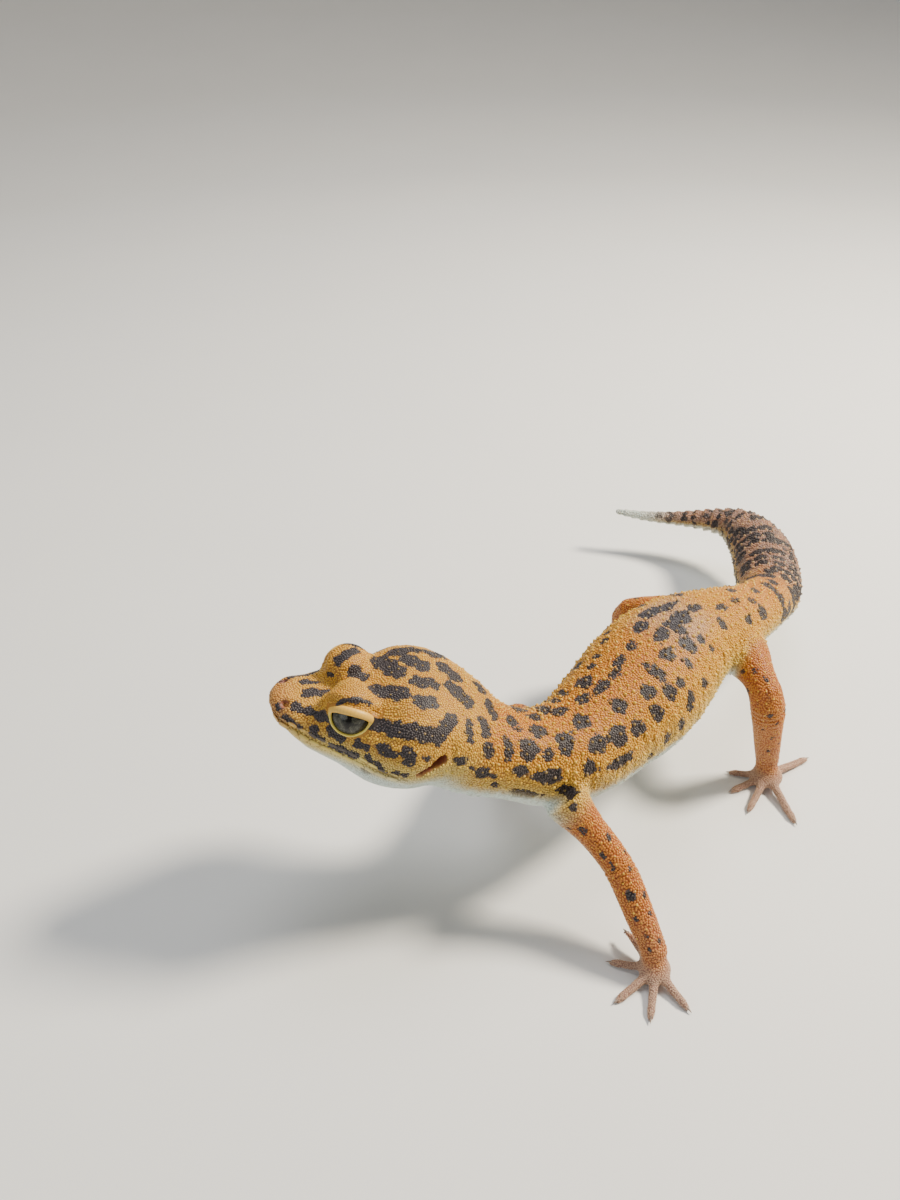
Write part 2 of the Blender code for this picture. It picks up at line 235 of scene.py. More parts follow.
def spin_round(bm: bmesh.types.BMesh, steps: int) -> None:
    """Turns an outline once round the upright axis and closes the seam.

    Args:
        bm: The outline, which becomes the turned shape.
        steps: How many steps the turn has.
    """
    bmesh.ops.spin(
        bm,
        geom=[*bm.verts, *bm.edges],
        cent=(0.0, 0.0, 0.0),
        axis=(0.0, 0.0, 1.0),
        angle=math.tau,
        steps=steps,
        use_merge=True,
    )
    bmesh.ops.remove_doubles(bm, verts=bm.verts, dist=1e-5)


def face_outwards(bm: bmesh.types.BMesh) -> None:
    """Turns a closed shape's faces outwards, by normals that are read afresh where it lies now."""
    bm.normal_update()
    bmesh.ops.recalc_face_normals(bm, faces=bm.faces)


def nearest_gap(obj: bpy.types.Object, places: Array) -> Array:
    """How far each vertex of a mesh lies from the nearest of a few places, in millimetres."""
    points = points_of(obj.data)
    return np.min([np.linalg.norm(points - place, axis=1) for place in places], axis=0)


def on_left(head: Array) -> Array:
    """Places along the head's axes, those on its right moved across to its left."""
    return head * [1.0, 0.0, 1.0] + np.abs(head) * [0.0, 1.0, 0.0]


def lengths_along(path: Array) -> Array:
    """How far along a polyline each of its points lies."""
    return np.concatenate([[0.0], np.cumsum(np.linalg.norm(np.diff(path, axis=0), axis=1))])


def near_path(points: Array, path: Array) -> tuple[Array, Array]:
    """The distance of each point from a polyline, and how far along the line its nearest place is.

    Args:
        points: The points, one a row.
        path: The line's own points.

    Returns:
        The distances, and the lengths along the line, both in the points' units.
    """
    best = np.full(len(points), np.inf)
    along = np.zeros(len(points))
    passed = 0.0
    for start, end in zip(path, path[1:]):
        run = end - start
        length = float(np.linalg.norm(run))
        share = np.clip((points - start) @ run / length**2, 0.0, 1.0)
        distance = np.linalg.norm(points - start - share[:, None] * run, axis=1)
        closer = distance < best
        best[closer] = distance[closer]
        along[closer] = passed + share[closer] * length
        passed += length
    return best, along


# ---- the animal's own coordinates ----


class Spine:
    """The middle line of the body, walked through the solids from the tail's tip to the snout."""

    step = 1.5
    smallest = 0.45

    def __init__(self, nodes: dict[str, bpy.types.Object]) -> None:
        """Cuts the solids with one plane after another, both ways from the middle of the trunk.

        Args:
            nodes: The CAD nodes by name.
        """
        starts, ends = [], []
        for name in CHAIN:
            mesh = nodes[name].data
            mesh.calc_loop_triangles()
            corners = np.array([triangle.vertices for triangle in mesh.loop_triangles])
            triangles = points_of(mesh)[corners]
            for one, two in ((0, 1), (1, 2), (2, 0)):
                starts.append(triangles[:, one])
                ends.append(triangles[:, two])
        self._starts, self._ends = np.concatenate(starts), np.concatenate(ends)
        low, high = (np.array(corner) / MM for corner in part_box("trunk"))
        middle = self._section((low + high) / 2.0, AHEAD, 20.0)
        sections = self._walk(middle[0], -AHEAD)[::-1] + [middle] + self._walk(middle[0], AHEAD)
        self.centres = np.array([section[0] for section in sections])
        self.halves = np.array([section[1:] for section in sections])
        self.along = lengths_along(self.centres)
        self.tangents = unit(np.gradient(self.centres, axis=0))
        self.sides = unit(np.cross(UP, self.tangents))
        self.ups = np.cross(self.tangents, self.sides)

    def _section(
        self, at: Array, facing: Array, reach: float
    ) -> tuple[Array, float, float] | None:
        """The outline's middle, half width and half height in a plane, or None off the body.

        Args:
            at: A point of the plane.
            facing: The plane's normal.
            reach: How far from the point the outline may lie.

        Returns:
            The section, or None where the body has ended.
        """
        before, after = (self._starts - at) @ facing, (self._ends - at) @ facing
        crossing = before * after < 0.0
        share = (before[crossing] / (before[crossing] - after[crossing]))[:, None]
        start = self._starts[crossing]
        outline = start + (self._ends[crossing] - start) * share
        outline = outline[np.linalg.norm(outline - at, axis=1) < reach]
        if len(outline) < 6:
            return None
        side = unit(np.cross(UP, facing))
        upward = np.cross(facing, side)
        across, above = (outline - at) @ side, (outline - at) @ upward
        middle = at + side * (across.max() + across.min()) / 2.0
        middle = middle + upward * (above.max() + above.min()) / 2.0
        return middle, float(np.ptp(across)) / 2.0, float(np.ptp(above)) / 2.0

    def _walk(self, start: Array, facing: Array) -> list[tuple]:
        """Steps from section to section until the body ends.

        Args:
            start: Where the walk starts.
            facing: Its first direction.

        Returns:
            The sections it passes, in order.
        """
        found: list[tuple] = []
        at, size = start, 12.0
        while len(found) < 150:
            guess = self._section(at + facing * self.step, facing, size * 1.5 + 1.5)
            if guess is None:
                break
            facing = unit(facing * 0.6 + unit(guess[0] - at) * 0.4)
            section = self._section(guess[0], facing, size * 1.5 + 1.5)
            if section is None or max(section[1:]) < self.smallest:
                break
            found.append(section)
            at, size = section[0], max(section[1:])
        return found

    def frame(self, along: Array) -> tuple[Array, ...]:
        """The body's own directions and sizes at distances from the tail's tip.

        Args:
            along: The distances, in millimetres.

        Returns:
            Centre, tangent, side, upward direction and half sizes, one row for each distance.
        """

        def read(rows: Array) -> Array:
            """Reads rows that belong to the spine's sections at the distances between them."""
            columns = [np.interp(along, self.along, rows[:, k]) for k in range(rows.shape[1])]
            return np.stack(columns, axis=-1)

        tangent, side = unit(read(self.tangents)), unit(read(self.sides))
        return read(self.centres), tangent, side, unit(read(self.ups)), read(self.halves)

    def locate(self, points: Array) -> tuple[Array, ...]:
        """Where points lie round the spine.

        Args:
            points: The points, in millimetres.

        Returns:
            The distance along the spine, the angle in degrees round it from the middle of the
            back, positive on the left, how far a point lies outside the body's own section, and
            the section's mean radius.
        """
        nearest = np.empty(len(points), int)
        for start in range(0, len(points), 20000):
            chunk = points[start : start + 20000]
            gaps = ((chunk[:, None, :] - self.centres[None]) ** 2).sum(-1)
            nearest[start : start + 20000] = gaps.argmin(1)
        offset = points - self.centres[nearest]
        along = self.along[nearest] + (offset * self.tangents[nearest]).sum(1)
        centre, _, side, upward, halves = self.frame(along)
        across = ((points - centre) * side).sum(1)
        above = ((points - centre) * upward).sum(1)
        radius = halves.mean(1)
        stretched = np.hypot(across / halves[:, 0], above / halves[:, 1])
        angle = np.degrees(np.arctan2(across, above))
        return along, angle, (stretched - 1.0) * radius, radius


@dataclass
class HeadFrame:
    """The head's own axes: behind the snout's tip, to the left and up, in millimetres."""

    eye_behind_snout: float = 11.9
    eye_over_snout: float = 2.4
    pitch: float = math.radians(13.0)
    left: Array = field(init=False)
    forwards: Array = field(init=False)
    upward: Array = field(init=False)
    snout: Array = field(init=False)

    def __post_init__(self) -> None:
        """Reads the axes and the snout's tip off the two eyes."""
        left_eye, right_eye = eye_centre("left"), eye_centre("right")
        self.left = unit(left_eye - right_eye)
        level = np.cross(self.left, UP)
        self.forwards = level * math.cos(self.pitch) + UP * math.sin(self.pitch)
        self.upward = np.cross(self.forwards, self.left)
        between = (left_eye + right_eye) / 2.0
        ahead = between + self.forwards * self.eye_behind_snout
        self.snout = ahead - self.upward * self.eye_over_snout

    def inwards(self, points: Array) -> Array:
        """Points of the frame given along the head's axes.

        Args:
            points: Points of the frame, in millimetres.

        Returns:
            How far behind the snout, to the left and up each lies.
        """
        offset = points - self.snout
        return np.stack(
            [-offset @ self.forwards, offset @ self.left, offset @ self.upward], axis=-1
        )

    def outwards(self, points: Array) -> Array:
        """Points along the head's axes given in the frame.

        Args:
            points: Places behind the snout, to the left and up.

        Returns:
            Points of the frame, in millimetres.
        """
        points = np.asarray(points, float)
        return (
            self.snout
            - points[..., :1] * self.forwards
            + points[..., 1:2] * self.left
            + points[..., 2:3] * self.upward
        )


def eye_centre(side: str) -> Array:
    """The middle of an eyeball, in millimetres."""
    low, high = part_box(f"eye_{side}")
    return (np.array(low) + np.array(high)) / 2.0 / MM


@dataclass(frozen=True)
class Limb:
    """One leg: the line through its joints, from inside the body to the sole."""

    name: str
    foot: str
    joints: Array

    @staticmethod
    def read(kind: str, side: str, nodes: dict[str, bpy.types.Object]) -> Limb:
        """Finds the joints of a leg where its solids meet.

        Args:
            kind: "arm" or "leg".
            side: "left" or "right".
            nodes: The CAD nodes by name.

        Returns:
            The leg with its four points: root, elbow or knee, wrist or ankle, and sole.
        """
        upper, lower, foot = (points_of(nodes[f"{part}_{side}"].data) for part in LIMBS[kind])
        middle, end = meeting(upper, lower), meeting(lower, foot)
        reach = np.linalg.norm(upper - middle, axis=1)
        root = upper[reach > 0.9 * reach.max()].mean(0)
        sole = np.array([end[0], end[1], 1.0])
        joints = np.array([root, middle, end, sole])
        return Limb(f"{kind}_{side}", f"{LIMBS[kind][2]}_{side}", joints)

    @property
    def length(self) -> float:
        """The length from the root to the wrist or ankle."""
        return float(lengths_along(self.joints[:3])[-1])

    def lie(self, along: Array) -> Array:
        """The direction towards the toes at places along the leg.

        Args:
            along: How far along the leg the places are, in millimetres.

        Returns:
            One direction for each place.
        """
        first = float(np.linalg.norm(self.joints[1] - self.joints[0]))
        upper, lower = unit(self.joints[1] - self.joints[0]), unit(self.joints[2] - self.joints[1])
        share = smooth(first - 2.0, first + 2.0, along)[:, None]
        return unit(upper * (1.0 - share) + lower * share)

    def around(self, points: Array, along: Array) -> Array:
        """The angle in degrees round the leg, 0 towards the head and 90 to the animal's left.

        Args:
            points: The points, in millimetres.
            along: How far along the leg each lies.

        Returns:
            One angle for each point.
        """
        runs = lengths_along(self.joints)
        axis = np.stack([np.interp(along, runs, self.joints[:, k]) for k in range(3)], axis=-1)
        direction = self.lie(along)
        ahead = unit(AHEAD - direction * direction[:, :1])
        beside = np.cross(direction, ahead)
        offset = points - axis
        return np.degrees(np.arctan2((offset * beside).sum(1), (offset * ahead).sum(1)))

    def toes(self, nodes: dict[str, bpy.types.Object]) -> list[tuple[Array, Array]]:
        """The tip of each toe and the direction it points in, from the foot's solid.

        Args:
            nodes: The CAD nodes by name.

        Returns:
            Five tips, each with its direction.
        """
        points = points_of(nodes[self.foot].data)
        offset = points[:, :2] - self.joints[2][:2]
        reach, angle = np.linalg.norm(offset, axis=1), np.arctan2(offset[:, 1], offset[:, 0])
        found: list[tuple[Array, Array]] = []
        free = reach > 4.0
        while len(found) < 5 and free.any():
            k = int(np.argmax(np.where(free, reach, 0.0)))
            tip = points[k]
            tip = points[np.linalg.norm(points - tip, axis=1) < 0.5].mean(0)
            gap = np.linalg.norm(points - tip, axis=1)
            behind = points[(gap > 1.6) & (gap < 3.6)].mean(0)
            found.append((tip, unit(tip - behind)))
            turned = np.abs((angle - angle[k] + math.pi) % (2.0 * math.pi) - math.pi)
            free &= turned > math.radians(22.0)
        return found


def meeting(one: Array, two: Array, reach: float = 0.8) -> Array:
    """The middle of the place where two solids face each other across a thin cut."""
    gaps = np.linalg.norm(one[:, None] - two[None], axis=2).min(1)
    return one[gaps < max(reach, gaps.min() + 0.2)].mean(0)


@dataclass
class Place:
    """Where points lie on the animal, one value for each point."""

    along: Array
    angle: Array
    radius: Array
    head: Array
    limb: Array
    limb_share: Array
    limb_along: Array
    limb_around: Array
    foot: Array


Mask = Callable[[Place, Array], Array]  # a share for each vertex, from its place and normal


class Anatomy:
    """The body coordinates that sculpting, painting and scaling share."""

    head_start = 163.0

    def __init__(self, nodes: dict[str, bpy.types.Object]) -> None:
        """Reads the spine, the head's axes and the legs from the solids.

        Args:
            nodes: The CAD nodes by name.
        """
        self.nodes = nodes
        self.spine = Spine(nodes)
        self.head = HeadFrame()
        self.limbs = [Limb.read(kind, side, nodes) for kind in LIMBS for side in SIDES]
        self.toe_tips = np.array([tip for limb in self.limbs for tip, _ in limb.toes(nodes)])

    def place(self, points: Array) -> Place:
        """Finds where points lie on the animal.

        Args:
            points: The points, in millimetres.

        Returns:
            Their places on body, head and legs.
        """
        along, angle, outside, radius = self.spine.locate(points)
        count = len(points)
        nearest, gap = np.zeros(count, int), np.full(count, np.inf)
        limb_along, limb_around = np.zeros(count), np.zeros(count)
        foot = np.zeros(count)
        for k, limb in enumerate(self.limbs):
            distance, passed = near_path(points, limb.joints)
            closer = distance < gap
            nearest[closer], gap[closer] = k, distance[closer]
            limb_along[closer] = passed[closer] / limb.length
            limb_around[closer] = limb.around(points[closer], passed[closer])
            low, high = (np.array(corner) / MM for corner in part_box(limb.foot))
            boxed = ((points > low - 0.6) & (points < high + 0.6)).all(1)
            foot = np.maximum(foot, boxed * smooth(high[2] + 0.5, high[2] - 1.8, points[:, 2]))
        share = smooth(0.4, 2.6, outside) * smooth(9.0, 7.0, gap)
        return Place(
            along=along,
            angle=angle,
            radius=radius,
            head=self.head.inwards(points),
            limb=nearest,
            limb_share=np.maximum(share, foot),
            limb_along=limb_along,
            limb_around=limb_around,
            foot=foot,
        )

    def lie(self, place: Place) -> Array:
        """The direction that scales point in: towards the tail, or towards the toes.

        Args:
            place: Where the scales stand.

        Returns:
            One direction for each scale.
        """
        _, tangent, _, _, _ = self.spine.frame(place.along)
        rearwards = -tangent
        for k, limb in enumerate(self.limbs):
            mine = (place.limb == k) & (place.limb_share > 0.5)
            rearwards[mine] = limb.lie(place.limb_along[mine] * limb.length)
        return rearwards

    def unwrap(self, place: Place) -> Array:
        """The skin laid flat: along and round the body, or along and round a leg.

        Args:
            place: Where the points lie.

        Returns:
            One place in the unit square for each point. The body takes the lower part and the
            four legs lie side by side over it.
        """
        length = float(self.spine.along[-1])
        flat = np.stack(
            [
                0.02 + 0.96 * np.clip(place.along / length, 0.0, 1.0),
                0.02 + 0.60 * (place.angle / 360.0 + 0.5),
            ],
            axis=-1,
        )
        leg = place.limb_share > 0.5
        across = np.clip(place.limb_around / 360.0 + 0.5, 0.0, 1.0)
        flat[leg, 0] = 0.02 + 0.25 * place.limb[leg] + 0.21 * across[leg]
        flat[leg, 1] = 0.66 + 0.24 * np.clip(place.limb_along[leg], 0.0, 1.3)
        return flat


# ---- markings ----


@dataclass(frozen=True)
class HeadMark:
    """A dark mark on the head, a rounded stroke between two places along the head's axes."""

    start: Triple
    end: Triple
    radius: float


@dataclass(frozen=True)
class BodyMark:
    """A dark spot on the body: its place along and round the spine, and its half sizes."""

    along: float
    angle: float
    half_length: float
    half_width: float


# Each mark is listed one by one. Start and end of the stroke, and its radius.
SIDE_OF_HEAD = tuple(
    HeadMark(*row)
    for row in (
        # bar from the nostril to the eye
        ((3.6, 3.3, 1.0), (5.6, 4.4, 1.1), 0.75), ((5.6, 4.4, 1.2), (8.8, 6.1, 1.4), 0.95),
        # lip spots, front to rear
        ((2.2, 4.1, -0.6), (4.6, 5.6, -1.2), 0.55), ((6.0, 6.2, 0.1), (6.8, 6.6, -0.7), 0.7),
        ((7.0, 6.8, -1.4), (8.0, 7.3, -2.0), 0.6),
        # under the front of the eye
        ((9.0, 7.3, 0.4), (10.6, 8.2, -0.6), 0.95), ((9.9, 8.1, -2.5), (13.3, 9.6, -2.7), 0.75),
        ((15.0, 10.5, -2.0), (17.5, 11.8, -3.0), 0.65),
        ((14.6, 10.2, -5.1), (15.6, 10.8, -5.4), 0.5),
        ((19.4, 12.4, -3.0), (20.6, 12.7, -3.2), 0.55),
        # cheek spots
        ((13.3, 9.4, -0.5), (14.2, 9.9, -0.6), 0.8), ((16.4, 10.9, 0.6), (18.2, 11.5, 0.1), 1.0),
        ((20.5, 12.0, 0.9), (20.7, 12.4, -0.3), 1.1), ((22.9, 12.3, 0.2), (23.6, 12.4, 0.1), 0.5),
        # stripe behind the eye
        ((15.0, 8.3, 3.0), (18.2, 9.9, 3.5), 1.25), ((18.2, 9.9, 3.5), (21.2, 10.5, 3.7), 1.35),
        ((21.2, 10.5, 3.7), (24.8, 10.6, 3.2), 1.45), ((25.2, 10.2, 3.3), (27.2, 7.8, 4.4), 1.25),
        # behind the ear
        ((29.0, 11.7, -1.2), (29.6, 11.6, -0.9), 0.85),
        # round the nostril
        ((1.0, 2.8, 0.4), (1.8, 3.1, 0.7), 0.75),
        # side of the throat
        ((33.4, 11.2, -3.7), (35.6, 11.2, -4.4), 0.5),
        ((31.4, 11.5, -2.6), (32.9, 11.4, -3.6), 0.35),
        ((36.0, 11.3, -6.1), (36.8, 11.3, -6.4), 0.55),
        # crease over the lid
        ((9.2, 6.4, 4.9), (11.6, 6.3, 6.0), 0.5), ((11.6, 6.3, 6.0), (14.2, 6.3, 5.3), 0.55),
    )
)
CROWN = tuple(
    HeadMark(*row)
    for row in (
        # crown and snout
        ((15.2, 2.7, 5.0), (17.6, 3.6, 5.6), 1.35), ((17.6, 3.8, 5.7), (19.4, 4.7, 6.0), 1.5),
        ((22.1, 6.3, 6.0), (24.0, 6.3, 5.9), 1.25), ((22.0, 2.3, 6.7), (24.6, 2.2, 6.6), 1.35),
        ((16.8, -3.9, 5.2), (19.2, -0.1, 6.4), 1.6), ((21.0, -3.0, 6.7), (23.6, -1.5, 6.8), 1.35),
        ((12.4, -1.3, 4.8), (14.0, -0.5, 4.9), 1.05), ((28.0, 1.8, 5.4), (30.4, 3.4, 3.4), 1.55),
        ((27.0, -2.6, 6.0), (29.3, -0.9, 5.3), 1.35), ((5.6, 0.7, 1.8), (9.2, 0.5, 3.3), 1.2),
        ((5.4, -1.8, 1.7), (8.6, -1.7, 3.4), 0.9), ((9.8, -2.8, 5.7), (13.4, -4.8, 6.8), 1.0),
        ((19.0, -5.2, 5.8), (22.5, -5.6, 5.9), 1.2), ((24.8, -5.4, 5.6), (27.4, -5.9, 4.6), 1.2),
        # nape
        ((30.2, 7.0, 3.2), (30.6, 9.6, 1.5), 0.7), ((33.0, 6.2, 2.3), (33.6, 7.7, 1.4), 1.05),
        ((33.7, 9.2, -0.1), (34.1, 9.9, -0.6), 1.05), ((34.8, 1.9, 2.4), (35.3, 3.8, 1.9), 1.1),
        ((33.5, -1.5, 3.1), (34.2, -0.6, 2.9), 1.1), ((34.4, -6.0, 2.2), (34.9, -7.4, 1.2), 1.1),
        ((37.4, 7.7, -0.1), (37.8, 9.5, -1.6), 0.85), ((38.7, 3.6, 0.7), (39.4, 4.7, 0.3), 1.1),
        ((38.6, -1.9, 1.0), (39.4, -1.0, 0.8), 1.1), ((38.0, -7.6, 0.0), (38.4, -8.8, -1.2), 1.0),
        ((41.2, 0.7, 0.0), (41.8, 1.2, -0.2), 0.85),
    )
)
# Place along the spine, angle round it, half length and half width.
NECK_AND_TRUNK = tuple(
    BodyMark(*row)
    for row in (
        # right side of the neck
        (161.0, -74, 1.3, 1.2), (157.5, -56, 1.5, 1.2), (155.0, -84, 1.4, 1.1),
        (150.5, -50, 1.4, 1.3), (150.0, -94, 1.2, 1.0),
        # neck
        (154.5, 64, 1.2, 1.1), (152.4, 98, 2.0, 1.4), (154.0, 37, 1.4, 1.9), (152.5, 9, 1.5, 1.4),
        (152.0, -18, 1.9, 1.2), (151.0, 40, 0.9, 1.3), (150.5, 67, 2.2, 1.4),
        (147.5, 86, 1.3, 1.1), (147.5, 30, 1.9, 2.2), (145.0, -15, 2.1, 1.3),
        (144.0, 64, 1.1, 1.4), (142.5, 11, 2.0, 1.8), (142.0, 42, 1.7, 1.7),
        # shoulders
        (139.5, 71, 2.2, 1.1), (138.5, 45, 1.7, 1.8), (138.0, -12, 2.0, 1.2),
        (134.5, 23, 1.6, 1.7), (134.5, 52, 1.8, 1.4), (133.5, -5, 2.0, 1.2),
        (133.0, 93, 0.9, 0.8), (130.0, -32, 1.0, 0.9), (129.5, -4, 1.6, 1.0),
        (129.5, 52, 1.3, 1.7), (129.0, 83, 0.9, 1.2), (128.5, 32, 1.4, 1.5),
        # front of the back, and the flank
        (127.0, -37, 1.0, 0.9), (126.5, -11, 1.8, 1.1), (126.0, 78, 0.8, 1.3),
        (125.5, 45, 1.2, 1.6), (124.5, 23, 1.2, 2.6), (122.5, 62, 0.9, 1.2),
        (122.0, -43, 1.0, 0.9), (122.0, -12, 1.4, 1.2), (120.0, 21, 1.7, 1.6),
        (118.5, 40, 0.9, 1.4), (118.0, 64, 0.8, 1.1), (119.0, -50, 1.0, 0.9),
        # the blue patch in the middle of the back
        (116.5, -19, 1.8, 1.5), (116.5, 4, 2.1, 1.5), (115.0, 30, 1.6, 2.1),
        (113.0, 9, 1.5, 2.5), (112.0, -25, 2.4, 1.6), (111.0, 51, 0.9, 0.9),
        (122.7, 46, 0.9, 1.0), (123.6, 69, 0.8, 0.9), (111.7, 37, 1.1, 1.1),
        (110.0, 6, 2.2, 2.0), (109.0, -17, 2.4, 1.3), (106.0, 5, 1.6, 1.2),
        # hips
        (103.5, 38, 1.1, 1.6), (100.5, 18, 1.6, 1.0), (96.0, 47, 1.1, 1.1), (96.0, 13, 1.3, 1.1),
        (93.0, -12, 1.3, 1.1), (91.5, 22, 1.1, 1.0), (90.5, 47, 1.6, 1.7), (86.5, 4, 1.5, 1.1),
    )
)
# Share of the leg's length, angle round it and radius.
ARM_MARKS = (
    (0.04, -3, 0.35), (0.12, 6, 0.35), (0.18, 20, 0.30), (0.03, -70, 0.75), (0.17, -39, 0.90),
    (0.30, -105, 0.70), (0.35, -33, 0.70), (0.32, 27, 0.35), (0.41, -41, 0.40), (0.45, -33, 0.60),
    (0.50, -92, 0.40), (0.43, -123, 0.40), (0.63, -56, 1.00), (0.66, -106, 0.60),
    (0.76, -43, 0.55), (0.76, -102, 0.50), (0.86, -59, 0.45), (0.91, -94, 0.50),
    (0.93, -48, 0.40), (0.30, 62, 0.50), (0.50, 104, 0.60), (0.64, 34, 0.50), (0.76, 140, 0.60),
    (0.85, 62, 0.40),
)
LEG_MARKS = (
    (0.30, -12, 0.40), (0.32, -40, 0.45), (0.28, 7, 0.30), (0.37, -47, 0.50), (0.39, 39, 0.35),
    (0.41, -4, 0.30), (0.48, -42, 0.45), (0.80, -40, 0.50), (0.85, -10, 0.35), (0.55, -64, 0.45),
    (0.60, -20, 0.35), (0.68, -52, 0.40), (0.72, 2, 0.30), (0.50, -104, 0.55), (0.62, -112, 0.50),
    (0.76, -96, 0.40), (0.36, 84, 0.45), (0.52, 122, 0.50), (0.66, 62, 0.40), (0.94, -70, 0.40),
)


@dataclass
class Coating:
    """What the materials of skin and scales read at each point."""

    tones: Array
    zones: Array
    marks: Array


class Markings:
    """Paints the animal: its ground colours and its dark marks, from body coordinates."""

    whorl_start = 76.0

    def __init__(self, anatomy: Anatomy) -> None:
        """Lays out the marks of both sides, the tail and the legs.

        Args:
            anatomy: The body coordinates.
        """
        self.anatomy = anatomy
        self.random = np.random.default_rng(SEED)
        self.head_marks = self._head_marks()
        self.body_marks = self._body_marks()
        self.limb_marks = self._limb_marks()

    def _head_marks(self) -> list[HeadMark]:
        """The left side's marks, the same a little shifted on the right, and the crown's.

        Returns:
            All marks of the head.
        """
        marks = [*SIDE_OF_HEAD, *CROWN]
        for mark in SIDE_OF_HEAD:
            shift, grow = self.random.uniform(-0.5, 0.5), self.random.uniform(0.9, 1.1)
            start, end = (
                (behind + shift, -left, up) for behind, left, up in (mark.start, mark.end)
            )
            marks.append(HeadMark(start, end, mark.radius * grow))
        return marks

    def _body_marks(self) -> list[BodyMark]:
        """The left side's spots, others like them on the right, and the tail's broken rings.

        Returns:
            All marks of neck, trunk and tail.
        """
        marks = list(NECK_AND_TRUNK)
        for mark in NECK_AND_TRUNK:
            along = mark.along + self.random.uniform(-2.0, 2.0)
            angle = -mark.angle + self.random.uniform(-5.0, 5.0)
            clear = all(
                math.hypot(along - other.along, math.radians(angle - other.angle) * 10.0) > 3.4
                for other in marks
            )
            if clear:
                marks.append(BodyMark(along, angle, mark.half_length, mark.half_width))
        along = self.whorl_start + 4.0
        while along > 9.0:
            fat = smooth(20.0, 45.0, along)
            turn = self.random.uniform(0.0, 40.0)
            for angle in np.arange(-125.0, 126.0, 40.0 - 4.0 * fat):
                if self.random.uniform() < 0.86 - 0.35 * smooth(64.0, 76.0, along):
                    half = self.random.uniform(0.8, 1.45) * (0.75 + 0.6 * fat)
                    wide = self.random.uniform(0.9, 1.7) * (0.55 + 1.0 * fat)
                    place = along + self.random.uniform(-0.5, 0.5)
                    marks.append(BodyMark(place, angle + turn - 20.0, half, wide))
            along -= 3.3
        return marks

    def _limb_marks(self) -> list[tuple[int, float, float, float]]:
        """Spots of the legs: which leg, the share along it, the angle round it and the radius.

        Returns:
            All marks of the legs.
        """
        marks = []
        for k, limb in enumerate(self.anatomy.limbs):
            listed = ARM_MARKS if "arm" in limb.name else LEG_MARKS
            if "left" in limb.name:
                marks += [(k, *mark) for mark in listed]
                continue
            for share, angle, radius in listed:
                moved = share + self.random.uniform(-0.03, 0.03)
                turned = angle + self.random.uniform(-18.0, 18.0)
                marks.append((k, moved, 180.0 - turned, radius))
        return marks

    def spots(self, place: Place) -> Array:
        """How far inside a dark mark each point lies, in millimetres, or how far outside.

        Args:
            place: Where the points lie.

        Returns:
            One depth for each point, below 0 outside every mark.
        """
        depth = np.full(len(place.along), -3.0)
        wobble = 0.16 * np.sin(2.3 * place.head[:, 0] + 1.7 * place.head[:, 1])
        wobble += 0.12 * np.sin(3.9 * place.head[:, 1] - 3.1 * place.head[:, 2])
        near_head = np.flatnonzero(place.along > self.anatomy.head_start - 8.0)
        for mark in self.head_marks:
            distance, _ = near_path(place.head[near_head], np.array([mark.start, mark.end]))
            inside = mark.radius + wobble[near_head] - distance
            depth[near_head] = np.maximum(depth[near_head], inside)
        body = place.limb_share < 0.6
        for number, mark in enumerate(self.body_marks):
            near = np.flatnonzero(body & (np.abs(place.along - mark.along) < 5.0))
            if mark.along > 155.0:
                near = near[place.head[near, 0] > 29.5]
            turned = (place.angle[near] - mark.angle + 180.0) % 360.0 - 180.0
            length = (place.along[near] - mark.along) / mark.half_length
            width = np.radians(turned) * place.radius[near] / mark.half_width
            bearing = np.arctan2(width, length)
            ragged = 1.0 + 0.10 * np.sin(3.0 * bearing + number) + 0.07 * np.sin(
                5.0 * bearing + 2.0 * number
            )
            size = min(mark.half_length, mark.half_width)
            inside = (1.0 - np.hypot(length, width) * ragged) * size
            depth[near] = np.maximum(depth[near], inside)
        for k, share, angle, size in self.limb_marks:
            near = np.flatnonzero((place.limb == k) & (place.limb_share > 0.3))
            turned = (place.limb_around[near] - angle + 180.0) % 360.0 - 180.0
            length = (place.limb_along[near] - share) * self.anatomy.limbs[k].length
            inside = size - np.hypot(length, np.radians(turned) * 3.0)
            depth[near] = np.maximum(depth[near], inside)
        return depth

    def paint(self, points: Array, normals: Array, place: Place) -> Coating:
        """Works out the ground colours and marks of points on the skin.

        Args:
            points: The points, in millimetres.
            normals: The skin's normals there.
            place: Where the points lie on the animal.

        Returns:
            Tones are orange, pale and pink. Zones are belly, tail and bare openings. Marks are the
            depth inside a dark mark, how blue-grey the marks are, and the digits' grey.
        """
        turn = np.abs(place.angle)
        along = place.along
        head = smooth(self.anatomy.head_start - 3.0, self.anatomy.head_start + 4.0, along)
        up = place.head[:, 2]
        behind = place.head[:, 0]
        leg = place.limb_share

        back = smooth(80.0, 18.0, turn)
        orange = 0.02 + 0.66 * back * (1.0 - 0.45 * bell(along - 102.0, 12.0))
        orange = orange * (1.0 - head) + (0.04 + 0.26 * smooth(0.0, 5.0, up)) * head
        belly = smooth(88.0, 112.0, turn) * (1.0 - head) + smooth(-3.4, -6.4, up) * head
        belly *= 1.0 - 0.35 * smooth(70.0, 50.0, along) * (1.0 - smooth(120.0, 165.0, turn))
        pale = 0.55 * smooth(66.0, 92.0, turn) * (1.0 - head)
        pale += head * (0.80 * smooth(0.4, -3.2, up) + 0.12)
        belly = np.maximum(belly, 0.85 * smooth(17.0, 5.0, along))
        pink = head * (0.48 * smooth(5.5, 0.5, behind) + 0.10 * smooth(13.0, 6.0, behind))
        tail = smooth(80.0, 62.0, along) * (1.0 - head)

